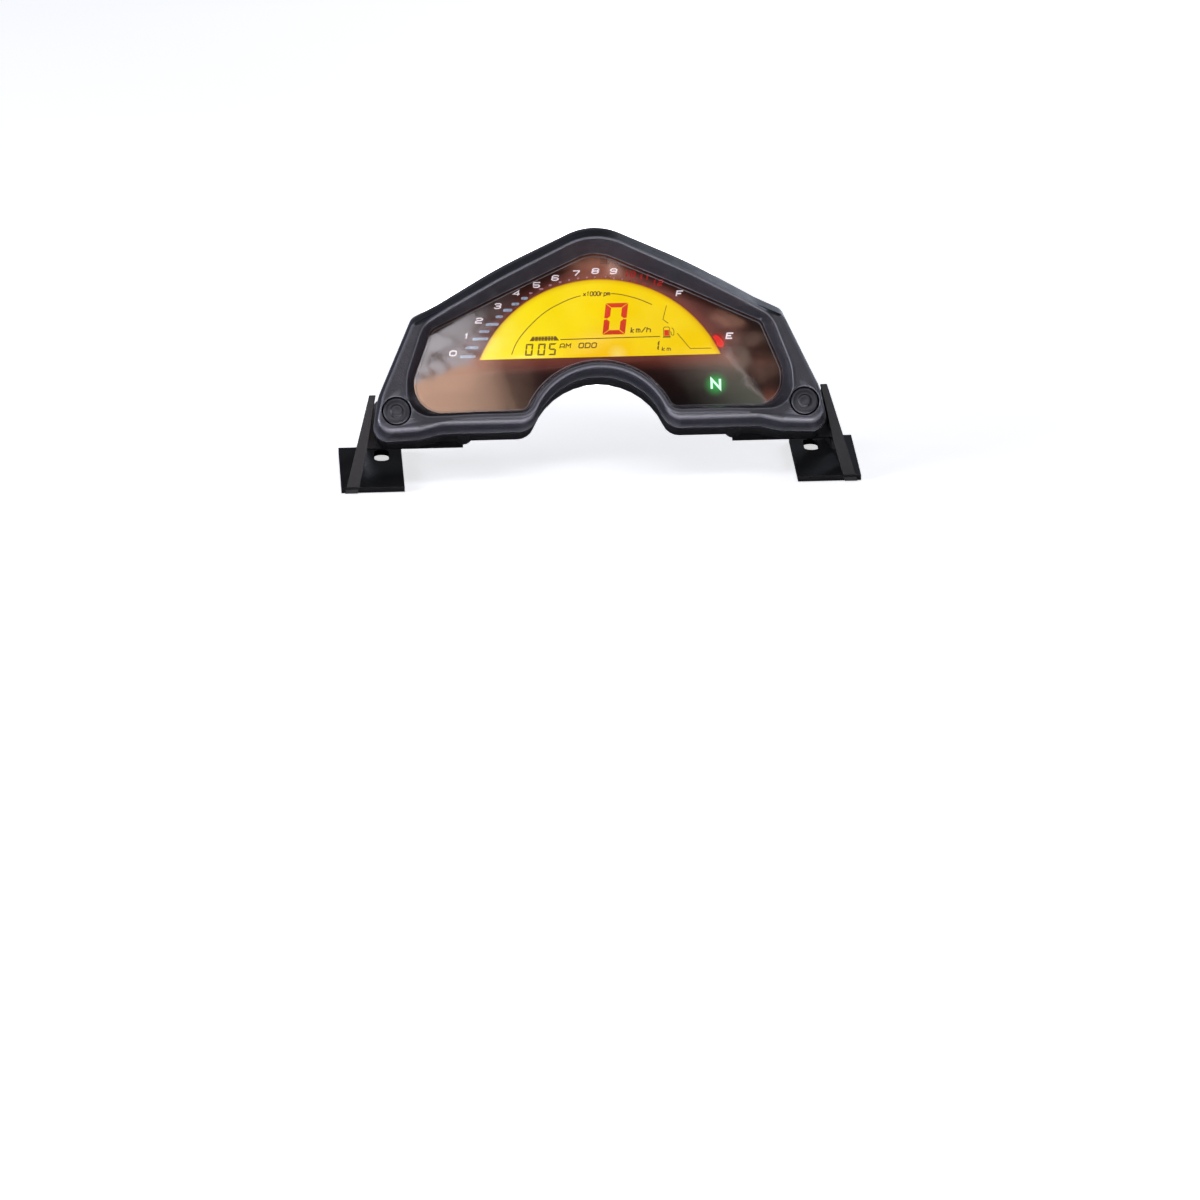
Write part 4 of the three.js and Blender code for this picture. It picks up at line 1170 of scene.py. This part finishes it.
def draw_light(name, place, size, radiance, colour):
    data = bpy.data.lights.new(name, "AREA")
    data.shape = "RECTANGLE"
    data.size, data.size_y = size
    data.energy = math.pi * size[0] * size[1] * radiance
    data.color = colour
    lamp = placed(name, data)
    lamp.location = place
    lamp.rotation_euler = (Vector((0, 0, 0.05)) - Vector(place)).to_track_quat("-Z", "Y").to_euler()
    lamp.visible_camera = False


def draw_card(eye):
    """What the window mirrors: warm and bright low on the left, grey above it, dim clouds."""
    eye = TO_ROW.inverted() @ eye
    share = CARD_AWAY / eye.length

    def on_card(x, y):
        return Vector((x + (x - eye.x) * share, y + (y - eye.y) * share,
                       WINDOW_Z + (eye.z - WINDOW_Z) * share))

    g = Graph("mirrored_card")
    at_x, at_y, _ = g.axes()
    left, right = (Vector(CARD_SLANT).dot(on_card(x, 20).xy) for x in (-84, -26))
    fall = g.ramp(g.span(g.along(CARD_SLANT), 0, 1, left, right), (0.0, 1), (0.35, 0.85),
                  (0.58, 0.55), (0.78, 0.14), (1.0, 0))
    lean = Vector((-0.365, 1))
    border = lean.dot(on_card(*CARD_BORDER).xy)
    above = g.span(g.along(lean), 0, 1, border - 2, border + 1.5)
    wisps = g.noise(24, 2, 0.5, at=g.dial((1, 2.4, 1)))
    vein = g.math("ABSOLUTE", g.minus(wisps, 0.5))
    grey = g.blend(g.span(vein, 0.95, 0, 0.006, 0.045), (0.6, 0.59, 0.63), (0.14, 0.12, 0.12))
    warm = g.blend(g.span(wisps, 0, 0.35, 0.45, 0.62), (0.8, 0.5, 0.36), (0.52, 0.33, 0.25))
    sockets = {"Fac": 1.0, "Color1": g.blend(above, warm, grey), "Color2": fall}
    tone = g.node("MixRGB", sockets, blend_type="MULTIPLY").outputs["Color"]

    ragged = g.span(g.noise(11, 4, 0.6), 0.35, 1.0, 0.38, 0.56)
    for x, y, width, height, colour in CARD_CLOUDS:
        centre = on_card(x, y)
        across = g.math("DIVIDE", g.minus(at_x, centre.x), width * (1 + share))
        up = g.math("DIVIDE", g.minus(at_y, centre.y), height * (1 + share))
        away = g.plus(g.times(across, across), g.times(up, up))
        tone = g.blend(g.times(g.span(away, 1, 0, 0.3, 1.2), ragged), tone, colour)

    top, foot = (on_card(*end) for end in CARD_STREAK)
    lean = Vector((top.y - foot.y, foot.x - top.x)).normalized()
    off = g.minus(g.along(lean), lean.dot(top.xy))
    low = g.span(at_y, 1, 0, on_card(0, 24).y, on_card(0, 31).y)
    wash = g.times(g.span(off, 1, 0, -0.4, 0.6), g.span(off, 0, 0.85, -32, -6), low)
    line = g.times(g.span(g.math("ABSOLUTE", g.plus(off, 0.6)), 1, 0, 0.2, 1.3), low)
    tone = g.blend(wash, tone, (0.12, 0.13, 0.105))
    tone = g.blend(line, tone, (0.34, 0.3, 0.28))
    corners = [TO_ROW @ on_card(x, y) for x, y in rectangle((-120, 110), (-30, 100))]
    card = stage_card("mirrored_card", g.done(g.light(tone, CARD_GLOW)), corners)
    card.visible_diffuse = False


def draw_bounce(name, xs, ys, strength):
    """Light from a low card, as from bright metal or a pale bench beside the cluster."""
    g = Graph(name)
    at = g.node("TexCoord").outputs["Object"]
    tone = g.ramp(g.noise(0.05, 2, at=at), (0.3, (0.9, 0.88, 1.0)), (0.7, (1.0, 0.98, 1.0)))
    corners = [(x, y, BOUNCE_Z) for x, y in rectangle(xs, ys)]
    stage_card(name, g.done(g.light(tone, strength)), corners)


def draw_world():
    """White behind the object; a dim room that is a little brighter low down."""
    world = bpy.context.scene.world = bpy.data.worlds.new("studio")
    g = Graph("studio", world)
    height = g.axes(g.node("TexCoord").outputs["Generated"])["Z"]
    dim = g.ramp(height, (0.0, (0.035, 0.035, 0.038)), (0.7, (0.03, 0.03, 0.034)))
    room = g.node("Background", {"Color": dim}).outputs[0]
    white = g.node("Background", {"Color": (1, 1, 1, 1)}).outputs[0]
    camera_ray = g.node("LightPath").outputs["Is Camera Ray"]
    g.done(g.mix(camera_ray, room, white), "OutputWorld")


def draw_camera():
    """The rider's view: 17 degrees above the buttons, tilted a little to one side."""
    elevation, azimuth, roll = (math.radians(a) for a in (17, -2.6, 0.7))
    lens = 280.0
    depth = 14.683 * lens * MM
    seen_x, seen_y = 0.000374, 0.08557  # where the middle of the button line falls in the picture
    back = Vector((math.sin(azimuth), -math.cos(azimuth), math.tan(elevation))).normalized()
    place = ORIGIN + back * math.sqrt(depth**2 + seen_x**2 + seen_y**2)
    forward = -back
    for _ in range(6):
        level = forward.cross(Vector((0, 0, 1))).normalized()
        above = level.cross(forward)
        right = level * math.cos(roll) - above * math.sin(roll)
        up = level * math.sin(roll) + above * math.cos(roll)
        forward = (ORIGIN - right * seen_x - up * seen_y - place).normalized()
    data = bpy.data.cameras.new("camera")
    data.lens = lens
    data.sensor_width = 36
    data.clip_start, data.clip_end = 0.01, 50
    camera = placed("camera", data)
    turn = Matrix((right, up, -forward)).transposed()
    camera.matrix_world = Matrix.Translation(place) @ turn.to_4x4()
    bpy.context.scene.camera = camera
    return place


eye = draw_camera()
draw_display()
draw_mask()
draw_lamps()
draw_bezel(bezel_finish)
draw_buttons(button_finish)
draw_boots(rubber("boot_silicone", (0.02, 0.02, 0.022), (0.06, 0.06, 0.064)))
# light grey bead: a painted highlight round the window
draw_window_line(film("bead_grey_painted_highlight", (0.2, 0.19, 0.2), (0.3, 0.29, 0.3)))
draw_screws(steel)
draw_bolts(steel)
draw_connector(moulded("nylon_cream", (0.5, 0.47, 0.4), (0.62, 0.59, 0.5), 0.45), bright)
dress_frame()
draw_floor()
draw_world()
draw_card(eye)
draw_bounce("bounce_front", (-0.12, 0.12), (-0.17, -0.062), 6.5)
draw_bounce("bounce_back", (-0.07, 0.07), (0.12, 0.5), 4.5)
draw_bounce("bounce_left", (-0.6, -0.24), (-0.25, 0.08), 2.4)
draw_bounce("bounce_right", (0.24, 0.6), (-0.25, 0.08), 2.4)
draw_light("front", (0.15, -0.66, 1.0), (1.1, 0.22), 6.0, (0.9, 0.9, 1))
draw_light("left", (-1.3, -0.3, 0.3), (1.3, 0.6), 10.0, (0.85, 0.88, 1))
draw_light("rim", (0.75, 1.15, 0.3), (0.4, 0.6), 11.0, (0.8, 0.86, 1))
bpy.context.scene.view_settings.view_transform = "Standard"
